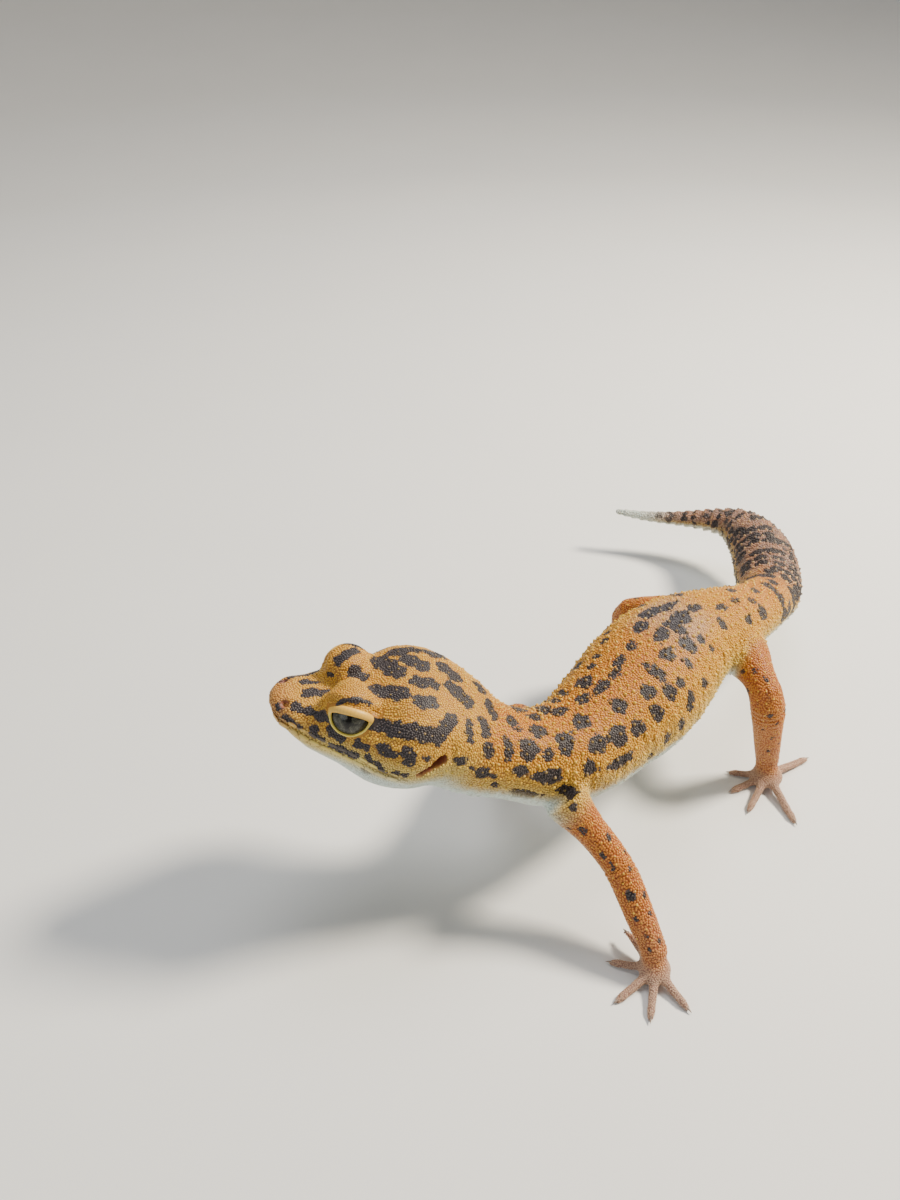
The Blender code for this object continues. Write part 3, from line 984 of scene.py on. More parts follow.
        under = smooth(0.1, -0.75, normals[:, 2])
        spread = place.limb_along
        leg = leg * smooth(-0.02, 0.15, spread)
        orange = orange * (1.0 - leg) + leg * (1.0 - 0.45 * smooth(0.75, 1.05, spread))
        belly = belly * (1.0 - leg) + leg * 0.15 * under
        pale = pale * (1.0 - leg) + leg * 0.25 * under
        pink = pink * (1.0 - leg) + leg * (0.1 + 0.62 * smooth(0.62, 1.0, spread) + 0.3 * under)
        tail = tail * (1.0 - leg)

        blue = bell(along - 111.0, 8.0) * smooth(55.0, 25.0, turn)
        blue = np.maximum(blue, 0.30 * head)
        openings = self._openings(place)
        tones = np.stack([orange, np.clip(pale, 0, 1), np.clip(pink, 0, 1)], axis=-1)
        zones = np.stack([belly, tail, openings], axis=-1)
        marks = np.stack([self.spots(place), blue * (1.0 - leg), place.foot], axis=-1)
        return Coating(tones, zones, marks)

    def _openings(self, place: Place) -> Array:
        """The bare flesh inside ears and nostrils, from 0 to 1.

        Args:
            place: Where the points lie.

        Returns:
            One share for each point.
        """
        mirrored = on_left(place.head)
        nostril = np.linalg.norm(mirrored - NOSTRIL, axis=1)
        return np.maximum(smooth(0.9, 0.6, from_ear(mirrored)), smooth(0.95, 0.55, nostril))


# ---- skin ----


NOSTRIL: Triple = (2.1, 2.6, 0.8)
EAR_SLIT: tuple[Triple, Triple] = ((23.1, 12.6, -3.0), (26.3, 12.1, -0.7))
MOUTH: tuple[Triple, ...] = (
    (-0.4, 0.0, -1.5),
    (0.5, 1.9, -1.5),
    (2.5, 4.4, -1.7),
    (6.0, 6.6, -2.2),
    (11.0, 8.9, -3.1),
    (16.0, 11.3, -3.8),
    (20.4, 12.8, -4.1),
    (21.6, 12.9, -4.6),
)


@dataclass(frozen=True)
class Fold:
    """A ridge or crease on both sides of the head, as a line along the head's axes."""

    path: tuple[Triple, ...]
    width: float
    height: float


def from_ear(mirrored: Array) -> Array:
    """How far points on the head's left half lie from the ear's slit, seen from the side.

    Args:
        mirrored: Places along the head's axes, all on its left.

    Returns:
        The distances, far larger on the inner side of the head.
    """
    level = mirrored * [1.0, 0.0, 1.0]
    distance, _ = near_path(level, np.array(EAR_SLIT) * [1.0, 0.0, 1.0])
    return distance + 9.0 * (mirrored[:, 1] < 5.0)


def shifted(path: Iterable[Triple], up: float) -> tuple[Triple, ...]:
    """The same line a little higher or lower on the head."""
    return tuple((behind, left, height + up) for behind, left, height in path)


HEAD_FOLDS = (
    Fold(shifted(MOUTH, 0.75), 0.6, 0.20),
    Fold(shifted(MOUTH, -0.8), 0.6, 0.18),
    Fold(MOUTH, 0.30, -0.50),
    Fold((NOSTRIL, (2.3, 2.6, 0.8)), 1.25, 0.30),
    Fold((NOSTRIL, (2.2, 2.6, 0.8)), 0.62, -1.15),
    Fold(((3.6, 2.4, 1.9), (6.4, 4.0, 3.0), (8.8, 5.2, 4.2)), 0.9, 0.30),
    Fold(((5.0, 5.2, 0.4), (8.0, 6.8, 0.7)), 1.4, -0.32),
    Fold(((4.0, 0.0, 2.0), (7.5, 0.0, 3.0), (11.5, 0.0, 4.6)), 1.5, -0.28),
    Fold(((17.0, 5.5, 4.8), (23.0, 6.0, 6.0)), 2.5, 0.28),
    Fold(((15.0, 0.0, 5.6), (22.0, 0.0, 6.7), (27.0, 0.0, 6.4)), 1.8, -0.22),
    Fold(((17.5, 11.4, -1.4), (22.0, 12.4, -2.0)), 2.6, 0.32),
    Fold(((15.4, 9.2, 0.9), (20.0, 11.4, 2.2), (24.0, 12.0, 1.8)), 0.7, -0.14),
    Fold(((27.8, 11.6, -5.5), (28.2, 11.9, -2.0), (27.6, 10.9, 1.2)), 0.8, -0.30),
    Fold(((23.0, 11.8, -6.4), (26.0, 11.6, -6.8)), 0.7, -0.22),
    Fold(((22.4, 12.4, -2.0), (25.4, 12.2, 0.4)), 0.55, 0.22),
    Fold(((24.2, 12.4, -4.0), (27.2, 12.0, -1.6)), 0.55, 0.16),
)


@dataclass
class EyeSocket:
    """One eye's place, the way it looks and the opening between its lids."""

    side: str
    head: HeadFrame
    ball_radius: float = 3.72
    half_across: float = math.radians(47.6)
    half_upper: float = math.radians(14.8)
    half_lower: float = math.radians(41.3)
    raised: float = math.radians(19.0)
    ahead: float = math.radians(17.0)
    tilt: float = math.radians(5.2)
    upper_lid: float = 1.20
    lower_lid: float = 0.42
    outwards: float = 0.85
    backwards: float = 0.50
    lower: float = 0.50
    centre: Array = field(init=False)
    axes: Array = field(init=False)
    lid_axes: Array = field(init=False)

    def __post_init__(self) -> None:
        """Finds the eyeball's middle, its axes and those of the lids, whose front lies higher.

        The rows of axes are the way the eye looks, forward and upward.
        """
        outward = self.head.left * SIDES[self.side]
        shift = outward * self.outwards - self.head.forwards * self.backwards
        self.centre = eye_centre(self.side) + shift - self.head.upward * self.lower
        look = outward * math.cos(self.ahead) + self.head.forwards * math.sin(self.ahead)
        look = look * math.cos(self.raised) + self.head.upward * math.sin(self.raised)
        forward = unit(self.head.forwards - look * (self.head.forwards @ look))
        upward = np.cross(forward, look) * SIDES[self.side]
        self.axes = np.array([look, forward, upward])
        tilted = forward * math.cos(self.tilt) + upward * math.sin(self.tilt)
        lifted = upward * math.cos(self.tilt) - forward * math.sin(self.tilt)
        self.lid_axes = np.array([look, tilted, lifted])

    def around(self, points: Array) -> tuple[Array, Array, Array]:
        """Places on the eye's own map.

        Args:
            points: Points of the frame, in millimetres.

        Returns:
            How far above the eye's middle each lies, from -1 to 1; how far outside the lids' edge,
            in millimetres along the ball; and the distance from the ball's middle.
        """
        offset = (points - self.centre) @ self.lid_axes.T
        reach = np.linalg.norm(offset, axis=1)
        off_axis = np.arccos(np.clip(offset[:, 0] / np.maximum(reach, 1e-9), -1.0, 1.0))
        rise = unit(offset[:, 1:])[:, 1]
        forward, upward = (unit(offset[:, 1:]) * off_axis[:, None]).T
        half_height = np.where(upward > 0.0, self.half_upper, self.half_lower)
        share = np.hypot(forward / self.half_across, upward / half_height)
        slope = np.hypot(forward / self.half_across**2, upward / half_height**2)
        outside = (share - 1.0) * share / np.maximum(slope, 1e-6) * self.ball_radius
        return rise, outside, reach

    def band(self, rise: Array | float) -> Array | float:
        """How wide the lid is at some height, in millimetres."""
        return self.lower_lid + (self.upper_lid - self.lower_lid) * smooth(-0.35, 0.30, rise)

    def on_lid(self, bearing: float, outside: float, radius: float) -> Array:
        """A point beside the rim of the opening.

        Args:
            bearing: The angle round the opening, from its front corner upwards.
            outside: How far it lies outside the opening's edge, in millimetres along the ball.
            radius: The distance from the eyeball's middle.

        Returns:
            The point, in millimetres.
        """
        half_height = self.half_upper if math.sin(bearing) > 0.0 else self.half_lower
        along, across = math.cos(bearing), math.sin(bearing)
        slope = math.hypot(along / self.half_across, across / half_height)
        step = outside / self.ball_radius / slope
        forward = along * (self.half_across + step / self.half_across)
        upward = across * (half_height + step / half_height)
        angle = math.hypot(forward, upward)
        look, ahead, above = self.lid_axes
        flat = (ahead * forward + above * upward) / angle
        return self.centre + (look * math.cos(angle) + flat * math.sin(angle)) * radius

    def widened(self, points: Array) -> Array:
        """Draws the cheek back from the eye, so that the lids stand clear of it all round.

        Args:
            points: The skin's points, in millimetres.

        Returns:
            The same points, those in front of the eye moved outside a cone round it.
        """
        offset = points - self.centre
        look = self.lid_axes[0]
        ahead = offset @ look
        flat = offset - ahead[:, None] * look
        wide = np.linalg.norm(flat, axis=1)
        rise = (flat @ self.lid_axes[2]) / np.maximum(wide, 1e-6)
        reach = np.linalg.norm(offset, axis=1)
        edge = math.radians(58.0) - math.radians(20.0) * smooth(0.1, 0.8, rise)
        rim = self.ball_radius + 0.30
        start = rim * np.cos(edge)
        cone = rim * np.sin(edge) + 0.90 * np.maximum(ahead - start, 0.0)
        share = smooth(0.50, 1.0, reach - self.ball_radius)
        share = share * smooth(start - 0.7, start, ahead) * smooth(16.0, 11.0, reach)
        pushed = wide + np.maximum(cone - wide, 0.0) * share
        return points + flat * ((pushed - wide) / np.maximum(wide, 0.3))[:, None]


@dataclass
class Skin:
    """One closed skin over the solids of flesh."""

    anatomy: Anatomy
    markings: Markings
    sockets: list[EyeSocket]
    swell: float = 0.25  # the solids grow this much, so that the cuts between them close
    voxel: float = 0.24
    coat_depth: float = 0.18
    lid_crease: float = 0.42
    brow: float = 0.38
    eye_bag: float = 0.16
    ear_depth: float = 1.25
    toe_swell: float = 0.20
    neck_wrinkle: float = 0.12
    armpit_fold: float = 0.35
    faces: int = 96000
    object: bpy.types.Object = field(init=False)

    def build(self) -> bpy.types.Object:
        """Grows, joins, smooths, sculpts and paints the skin.

        Returns:
            The skin, which carries the attributes that its material reads.
        """
        self.object = new_object("skin", self._swollen())
        remesh = self.object.modifiers.new("one_skin", "REMESH")
        remesh.mode = "VOXEL"
        remesh.voxel_size = self.voxel * MM
        apply_modifiers(self.object)
        place = self.anatomy.place(points_of(self.object.data))
        self._soften(place)
        self._settle(place)
        self._sculpt()
        self._thin_out()
        self._paint()
        return self.object

    def _swollen(self) -> bmesh.types.BMesh:
        """All flesh solids in one bmesh, each a little swollen, with the eye sockets filled.

        Returns:
            The overlapping closed bodies, in metres.
        """
        joined = bmesh.new()
        for name in self.flesh:
            bm = bmesh.new()
            bm.from_mesh(self.anatomy.nodes[name].data)
            bmesh.ops.remove_doubles(bm, verts=bm.verts, dist=1e-6)
            bm.normal_update()
            for vert in bm.verts:
                vert.co += vert.normal * self.swell * MM
            grown = bpy.data.meshes.new(name)
            bm.to_mesh(grown)
            bm.free()
            joined.from_mesh(grown)
            bpy.data.meshes.remove(grown)
        for socket in self.sockets:
            radius = (socket.ball_radius + 0.45) * MM
            place = Matrix.Translation(Vector(socket.centre * MM))
            bmesh.ops.create_icosphere(joined, subdivisions=3, radius=radius, matrix=place)
        return joined

    @property
    def flesh(self) -> list[str]:
        """The names of the nodes that the skin stands for."""
        return [name for name in self.anatomy.nodes if not name.startswith("eye_")]

    def _soften(self, place: Place) -> None:
        """Smooths the facets away, most on the trunk and least on the toes.

        Args:
            place: Where the skin's vertices lie.
        """
        head = smooth(160.0, 168.0, place.along) * (1.0 - place.limb_share)
        thin = smooth(30.0, 12.0, place.along)
        weights = 1.0 - 0.62 * head - 0.72 * thin * (1.0 - head)
        weights = weights * (1.0 - place.limb_share) + 0.45 * place.limb_share
        weights = weights * (1.0 - place.foot) + 0.07 * place.foot
        wrists = np.array([limb.joints[2] for limb in self.anatomy.limbs])
        gap = nearest_gap(self.object, wrists)
        relax(self.object, "soft", np.maximum(weights, smooth(4.8, 3.4, gap)), 60)
        relax(self.object, "wrists", smooth(7.0, 4.0, gap) * (1.0 - 0.8 * place.foot), 110)
        apply_modifiers(self.object)

    def _settle(self, place: Place) -> None:
        """Draws the swollen skin in, so that it lies inside the solids by the coat's depth.

        Args:
            place: Where the skin's vertices lie.
        """
        mesh = self.object.data
        depth = self.swell + self.coat_depth - 0.05
        depth = depth * (1.0 - place.foot) + (self.swell + 0.02) * place.foot
        set_points(mesh, points_of(mesh) - normals_of(mesh) * depth[:, None])

    def _sculpt(self) -> None:
        """Raises and cuts the folds of head, body, tail and legs, and opens the lids."""
        mesh = self.object.data
        points, normals = points_of(mesh), normals_of(mesh)
        place = self.anatomy.place(points)
        lift = self._head_folds(place) + self._body_folds(place, points)
        points = points + normals * lift[:, None] + self._ears(place)
        for socket in self.sockets:
            points = self._opened(points, socket)
        set_points(mesh, points)
        self._relax_sockets()

    def _opened(self, points: Array, socket: EyeSocket) -> Array:
        """Opens one eye socket and raises the folds of skin round it.

        Args:
            points: The skin's points, in millimetres.
            socket: The eye.

        Returns:
            The points in their new places.
        """
        _, _, before = socket.around(points)
        on_ball = smooth(1.3, 0.8, before - socket.ball_radius)
        points = socket.widened(points)
        rise, outside, reach = socket.around(points)
        near = smooth(4.5, 3.0, outside) * smooth(2.6, 1.8, reach - socket.ball_radius)
        band = socket.band(rise)
        crease = bell(outside - band - 0.28, 0.22) * smooth(-0.1, 0.5, rise) * self.lid_crease
        brow = bell(outside - band - 1.15, 0.55) * smooth(0.0, 0.7, rise) * self.brow
        bag = bell(outside - band - 0.25, 0.25) * smooth(0.1, -0.5, rise) * self.eye_bag
        sunk = np.maximum(reach - socket.ball_radius + 0.60, 0.0)
        opened = smooth(0.45 * band, 0.0, outside) * on_ball
        over = np.maximum(reach - socket.ball_radius - 0.55, 0.0) * smooth(-0.6, 0.1, rise)
        over = over * smooth(6.0, 1.5, outside) * smooth(5.0, 3.0, reach - socket.ball_radius)
        target = reach - 0.85 * over + near * (brow - crease - bag) - opened * sunk
        covered = (outside > 0.5 * band) & (on_ball > 0.0)
        target = np.maximum(target, (socket.ball_radius + 0.12) * covered)
        scale = target / np.maximum(reach, 1e-6)
        return socket.centre + (points - socket.centre) * scale[:, None]

    def _relax_sockets(self) -> None:
        """Evens out the skin round the eyes."""
        points = points_of(self.object.data)
        weights = np.zeros(len(points))
        for socket in self.sockets:
            _, outside, reach = socket.around(points)
            ring = smooth(0.2, 0.7, outside) * smooth(4.0, 2.5, outside) * (reach < 10.0)
            weights = np.maximum(weights, ring)
        self.object.vertex_groups.clear()
        relax(self.object, "round_eyes", weights, 6)
        apply_modifiers(self.object)

    def _ears(self, place: Place) -> Array:
        """Moves the skin of the ears' slits straight inwards.

        Args:
            place: Where the skin's vertices lie.

        Returns:
            One move for each vertex, in millimetres.
        """
        inwards = np.where(place.head[:, 1] > 0.0, -1.0, 1.0) * (place.along > 155.0)
        mirrored = on_left(place.head)
        depth = self.ear_depth * smooth(0.85, 0.45, from_ear(mirrored))
        return (depth * inwards)[:, None] * self.anatomy.head.left

    def _head_folds(self, place: Place) -> Array:
        """Heights of the head's ridges and creases, in millimetres.

        Args:
            place: Where the skin's vertices lie.

        Returns:
            One height for each vertex.
        """
        lift = np.zeros(len(place.along))
        near = np.flatnonzero((place.along > 155.0) & (place.head[:, 0] < 33.0))
        mirrored = on_left(place.head[near])
        for fold in HEAD_FOLDS:
            distance, _ = near_path(mirrored, np.array(fold.path))
            lift[near] += fold.height * bell(distance, fold.width)
        return lift

    def _body_folds(self, place: Place, points: Array) -> Array:
        """Heights of the folds at the legs' roots, the neck's wrinkles and the tail's whorls.

        Args:
            place: Where the skin's vertices lie.
            points: The vertices themselves, in millimetres.

        Returns:
            One height for each vertex, in millimetres.
        """
        body = 1.0 - place.limb_share
        turn = np.abs(place.angle)
        neck = bell(place.along - 158.0, 5.0) * smooth(60.0, 110.0, turn) * body
        lift = self.neck_wrinkle * neck * np.sin(place.along * 3.4 + 0.02 * turn)
        flank = bell(turn - 80.0, 30.0) * smooth(86.0, 100.0, place.along)
        flank *= smooth(158.0, 146.0, place.along) * body
        lift += 0.10 * flank * np.sin(place.along * 1.25 + 0.09 * place.angle)
        lift += 0.07 * flank * np.sin(place.along * 2.9 - 0.05 * place.angle + 1.0)
        lift -= self.armpit_fold * bell(turn - 106.0, 6.0) * bell(place.along - 122.0, 18.0) * body
        lift += whorl_height(place.along) * body
        leg = place.limb_share * (1.0 - place.foot)
        gap = nearest_gap(self.object, self.anatomy.toe_tips)
        lift += self.toe_swell * smooth(2.6, 1.0, gap)
        bent = bell(place.limb_along - 0.52, 0.07) + 0.8 * bell(place.limb_along - 0.98, 0.06)
        lift += 0.10 * leg * bent * np.sin(place.limb_along * 190.0)
        return lift

    def _thin_out(self) -> None:
        """Takes faces away where the skin is plain, and keeps them on the head and the toes."""
        place = self.anatomy.place(points_of(self.object.data))
        fine = smooth(162.0, 168.0, place.along) * (1.0 - place.limb_share)
        fine = np.maximum(fine, place.foot)
        self.object.vertex_groups.clear()
        weigh(self.object, "plain", 1.0 - 0.93 * fine)
        fewer = self.object.modifiers.new("fewer", "DECIMATE")
        fewer.decimate_type = "COLLAPSE"
        fewer.ratio = min(1.0, self.faces / len(self.object.data.polygons))
        fewer.vertex_group = "plain"
        fewer.vertex_group_factor = 0.6
        apply_modifiers(self.object)
        self.object.vertex_groups.clear()

    def _paint(self) -> None:
        """Stores the markings and the normals that the scales are planted by."""
        mesh = self.object.data
        mesh.shade_smooth()
        points, normals = points_of(mesh), normals_of(mesh)
        place = self.anatomy.place(points)
        coating = self.markings.paint(points, normals, place)
        add_vectors(mesh, "tones", coating.tones)
        add_vectors(mesh, "zones", coating.zones)
        add_vectors(mesh, "marks", coating.marks)
        # A low scale height for the skin, so that its material paints the skin between the scales
        # with crevice shade.
        add_vectors(mesh, "grain", np.tile([0.12, 0.5, 0.0], (len(points), 1)))
        add_vectors(mesh, "outward", normals)


def whorl_phase(along: Array) -> Array:
    """Counts the tail's whorls from the root, closer together towards the tip."""
    behind = np.maximum(Markings.whorl_start - along, 0.0)
    return behind / (3.9 - 0.014 * behind)


def whorl_height(along: Array) -> Array:
    """The swelling of the tail's whorls, each a slow rise and a quick fall.

    Args:
        along: Distances along the spine.

    Returns:
        Heights over the plain skin, in millimetres.
    """
    phase = whorl_phase(along) % 1.0
    shape = smooth(0.0, 0.75, phase) - smooth(0.82, 1.0, phase)
    strength = smooth(Markings.whorl_start, Markings.whorl_start - 8.0, along)
    strength = strength * (0.25 + 0.75 * smooth(8.0, 34.0, along))
    return 0.62 * strength * (shape - 0.5)


# ---- scales ----


@dataclass
class Scale:
    """The shape of one scale, 1 across from its middle and 1 high, as arrays of a small mesh."""

    points: Array
    corners: Array
    starts: Array
    totals: Array

    @staticmethod
    def turned(sides: int, profile: Sequence[tuple[float, float]]) -> Scale:
        """A closed round scale from a half section.

        Args:
            sides: How many sides it has.
            profile: Radius and height of each ring, from the top downwards.

        Returns:
            The scale, with a closed top and a flat closed bottom.
        """
        bm = bmesh.new()
        bmesh.ops.create_uvsphere(
            bm, u_segments=sides, v_segments=len(profile) + 1, radius=1.0
        )
        bottom = min(bm.verts, key=lambda vert: vert.co.z)
        bmesh.ops.dissolve_verts(bm, verts=[bottom])
        bands = sorted({round(vert.co.z, 4) for vert in bm.verts}, reverse=True)
        for vert in bm.verts:
            band = bands.index(round(vert.co.z, 4))
            if band == 0:
                vert.co.z = 1.0
                continue
            radius, height = profile[band - 1]
            flat = vert.co.xy.normalized() * radius
            vert.co = flat.to_3d() + Vector((0.0, 0.0, height))
        mesh = bpy.data.meshes.new("scale")
        bm.to_mesh(mesh)
        bm.free()
        corners = numbers(mesh.loops, "vertex_index")
        starts = numbers(mesh.polygons, "loop_start")
        totals = numbers(mesh.polygons, "loop_total")
        scale = Scale(vectors(mesh.vertices, "co"), corners, starts, totals)
        bpy.data.meshes.remove(mesh)
        return scale

    def squared(self) -> Scale:
        """The same scale with a rounder-cornered, nearly square outline.

        Returns:
            The squarer scale.
        """
        points = self.points.copy()
        points[:, :2] = np.sign(points[:, :2]) * np.abs(points[:, :2]) ** 0.62
        return Scale(points, self.corners, self.starts, self.totals)


@dataclass
class Roots:
    """Where scales stand: places, normals, the way they lie and their half sizes."""

    points: Array
    normals: Array
    lies: Array
    sizes: Array

    def kept(self, chosen: Array) -> Roots:
        """Only the chosen ones.

        Args:
            chosen: True for each root to keep.

        Returns:
            The chosen roots.
        """
        return Roots(
            self.points[chosen], self.normals[chosen], self.lies[chosen], self.sizes[chosen]
        )


Planted = tuple[Array, Array, Triple]  # a place, the skin's normal there and three half sizes


class Lay(Enum):
    """How pale a kind of scale is at its tip."""

    GRANULE = 0.0
    TUBERCLE = 1.0
    LIP = 0.10


@dataclass
class Coat:
    """Plants scales on the skin as joined meshes."""

    anatomy: Anatomy
    markings: Markings
    skin: bpy.types.Object
    patch: float = 0.003  # how wide a scale's own patch of the unwrap is
    body_tubercle: Triple = (0.46, 0.42, 0.44)  # half length, half width and height
    tail_tubercle: Triple = (0.55, 0.46, 0.42)

    def __post_init__(self) -> None:
        """Prepares the search tree of the skin and the scale shapes."""
        graph = bpy.context.evaluated_depsgraph_get()
        self.tree = BVHTree.FromObject(self.skin, graph)
        self.random = np.random.default_rng(SEED + 1)
        self.granule = Scale.turned(6, ((0.68, 0.74), (1.0, -0.3)))
        self.grain = Scale.turned(5, ((0.68, 0.74), (1.0, -0.3)))
        self.plate = Scale.turned(8, ((0.72, 0.86), (1.0, 0.1), (0.9, -0.6)))
        self.tubercle = Scale.turned(8, ((0.24, 0.86), (0.52, 0.56), (0.80, 0.22), (1.0, -0.2)))

    def scatter(self, mask: Mask, spacing: float, seed: int) -> tuple[Array, Array]:
        """Spreads points evenly over a part of the skin.

        Args:
            mask: Gives each vertex of the skin a share from 0, none, to 1, all, from its place
                and normal.
            spacing: The least distance between two points.
            seed: The number that the spread starts from.

        Returns:
            The points, in millimetres, and the skin's normals there.
        """
        mesh = self.skin.data.copy()
        points, normals = points_of(mesh), normals_of(mesh)
        shares = mask(self.anatomy.place(points), normals)
        attribute = mesh.attributes.new("share", "FLOAT", "POINT")
        attribute.data.foreach_set("value", shares.astype(np.float32))
        helper = linked("spread", mesh)
        modifier = helper.modifiers.new("spread", "NODES")
        modifier.node_group = self._spreader(spacing * MM, seed)
        graph = bpy.context.evaluated_depsgraph_get()
        result = helper.evaluated_get(graph).to_mesh()
        found = points_of(result), unit(vectors(result.attributes["outward"].data, "vector"))
        helper.evaluated_get(graph).to_mesh_clear()
        bpy.data.objects.remove(helper)
        bpy.data.meshes.remove(mesh)
        return found

    @staticmethod
    def _spreader(spacing: float, seed: int) -> bpy.types.NodeTree:
        """A node group that turns a surface into evenly spread vertices.

        Args:
            spacing: The least distance between two points, in metres.
            seed: The number that the spread starts from.

        Returns:
            The node group.
        """
        group = bpy.data.node_groups.new("spread", "GeometryNodeTree")
        group.interface.new_socket("Geometry", in_out="INPUT", socket_type="NodeSocketGeometry")
        group.interface.new_socket("Geometry", in_out="OUTPUT", socket_type="NodeSocketGeometry")
        source = group.nodes.new("NodeGroupInput")
        share = group.nodes.new("GeometryNodeInputNamedAttribute")
        share.data_type = "FLOAT"
        share.inputs["Name"].default_value = "share"
        spread = group.nodes.new("GeometryNodeDistributePointsOnFaces")
        spread.distribute_method = "POISSON"
        spread.inputs["Distance Min"].default_value = spacing
        spread.inputs["Density Max"].default_value = 6.0 / spacing**2
        spread.inputs["Seed"].default_value = seed
        solid = group.nodes.new("GeometryNodePointsToVertices")
        out = group.nodes.new("NodeGroupOutput")
        group.links.new(source.outputs["Geometry"], spread.inputs["Mesh"])
        group.links.new(share.outputs["Attribute"], spread.inputs["Density Factor"])
        group.links.new(spread.outputs["Points"], solid.inputs["Points"])
        group.links.new(solid.outputs["Mesh"], out.inputs["Geometry"])
        return group

    def roots(self, points: Array, normals: Array, sizes: Callable[[Place], Array]) -> Roots:
        """Turns places into roots whose scales lie along the body.

        Args:
            points: The places, in millimetres.
            normals: The skin's normals there.
            sizes: Gives the half length, half width and height of a scale from its place.

        Returns:
            The roots.
        """
        place = self.anatomy.place(points)
        return Roots(points, normals, self.anatomy.lie(place), sizes(place))

    def plant(
        self, name: str, scale: Scale, roots: Roots, lay: Lay, lean: float = 0.0
    ) -> bpy.types.Object:
        """Stands one scale on each root, in one joined mesh.

        Args:
            name: The new object's name.
            scale: The scale's shape.
            roots: Where the scales stand.
            lay: The kind of scale.
            lean: How far a scale's top leans along its lie, as a share of its half length.

        Returns:
            The new object, painted and unwrapped.
        """
        count, size = len(roots.points), len(scale.points)
        along = unit(roots.lies - roots.normals * (roots.lies * roots.normals).sum(1)[:, None])
        across = np.cross(roots.normals, along)
        local = scale.points[None] * roots.sizes[:, None, :]
        local[:, :, 0] += lean * roots.sizes[:, None, 0] * np.maximum(scale.points[None, :, 2], 0.0)
        places = (
            roots.points[:, None]
            + local[:, :, :1] * along[:, None]
            + local[:, :, 1:2] * across[:, None]
            + local[:, :, 2:] * roots.normals[:, None]
        )
        mesh = bpy.data.meshes.new(name)
        mesh.vertices.add(count * size)
        set_points(mesh, places.reshape(-1, 3))
        shift = np.arange(count, dtype=np.int32)[:, None]
        corners = (scale.corners[None] + shift * size).ravel()
        mesh.loops.add(len(corners))
        mesh.loops.foreach_set("vertex_index", corners)
        mesh.polygons.add(count * len(scale.starts))
        starts = (scale.starts[None] + shift * len(scale.corners)).ravel()
        mesh.polygons.foreach_set("loop_start", starts)
        mesh.polygons.foreach_set("loop_total", np.tile(scale.totals, count))
        mesh.update(calc_edges=True)
        mesh.shade_smooth()
        self._paint(mesh, scale, roots, lay)
        obj = linked(name, mesh)
        LOG.info("%s: %d scales, %d faces", name, count, len(mesh.polygons))
        return obj

    def _paint(self, mesh: bpy.types.Mesh, scale: Scale, roots: Roots, lay: Lay) -> None:
        """Gives each scale its root's markings and its patch of the skin's unwrap.

        Args:
            mesh: The joined mesh of the scales.
            scale: The scale's shape.
            roots: Where the scales stand.
            lay: The kind of scale.
        """
        place = self.anatomy.place(roots.points)
        coating = self.markings.paint(roots.points, roots.normals, place)
        size = len(scale.points)
        add_vectors(mesh, "tones", np.repeat(coating.tones, size, axis=0))
        add_vectors(mesh, "zones", np.repeat(coating.zones, size, axis=0))
        add_vectors(mesh, "marks", np.repeat(coating.marks, size, axis=0))
        count = len(roots.points)
        # Crown is each vertex's height on its scale, which the material turns into painted shade
        # low down and painted highlight on top.
        crown = np.tile(np.clip(scale.points[:, 2], 0.0, 1.0), count)
        variety = np.repeat(self.random.uniform(0.0, 1.0, count), size)
        tip = np.full(count * size, lay.value)
        add_vectors(mesh, "grain", np.stack([crown, variety, tip], axis=-1))
        flat = np.repeat(self.anatomy.unwrap(place), size, axis=0)
        flat = flat + np.tile(scale.points[:, :2], (count, 1)) * self.patch / 2.0
        layer = mesh.uv_layers.new(name="OFBake")
        corners = numbers(mesh.loops, "vertex_index")
        layer.uv.foreach_set("vector", flat[corners].astype(np.float32).ravel())

    def on_body(self, along: float, angle: float) -> tuple[Array, Array] | None:
        """The skin's place and normal at a distance along and an angle round the spine.

        Args:
            along: The distance along the spine, in millimetres.
            angle: The angle from the middle of the back, in degrees.

        Returns:
            Place and normal, or None where a leg is in the way.
        """
        centre, _, side, upward, halves = self.anatomy.spine.frame(np.array([along]))
        turn = math.radians(angle)
        direction = unit(side[0] * math.sin(turn) + upward[0] * math.cos(turn))
        hit, normal, _, reach = self.tree.ray_cast(
            Vector(centre[0] * MM), Vector(direction), 0.03
        )
        if hit is None or reach / MM > halves[0].max() * 1.2 + 0.8:
            return None
        return np.array(hit) / MM, np.array(normal)

    def nearest(self, point: Array) -> tuple[Array, Array]:
        """The skin's nearest place to a point, and its normal there."""
        hit, normal, _, _ = self.tree.find_nearest(Vector(point * MM))
        return np.array(hit) / MM, np.array(normal)

    def rows_on_trunk(self) -> Roots:
        """Tubercles in staggered rows over back, flanks and neck.

        Returns:
            The tubercles' roots.
        """
        found: list[Planted] = []
        spine = self.anatomy.spine
        along, row = 79.0, 0
        while along < 169.0:
            _, _, _, _, halves = spine.frame(np.array([along]))
            neck = float(smooth(146.0, 160.0, along))
            pitch = 1.80 - 0.35 * neck
            turn = math.degrees(pitch / halves[0].mean())
            start = -116.0 + (turn / 2.0 if row % 2 else 0.0)
            for angle in np.arange(start, 117.0, turn):
                place = along + self.random.uniform(-0.28, 0.28)
                hit = self.on_body(place, angle + self.random.uniform(-2.0, 2.0))
                if hit is None:
                    continue
                size = 1.0 - 0.30 * neck - 0.35 * float(smooth(78.0, 112.0, abs(angle)))
                size *= self.random.uniform(0.88, 1.10)
                found.append((*hit, tuple(size * half for half in self.body_tubercle)))
            along += 1.60 - 0.25 * neck
            row += 1
        return self._gathered(found)

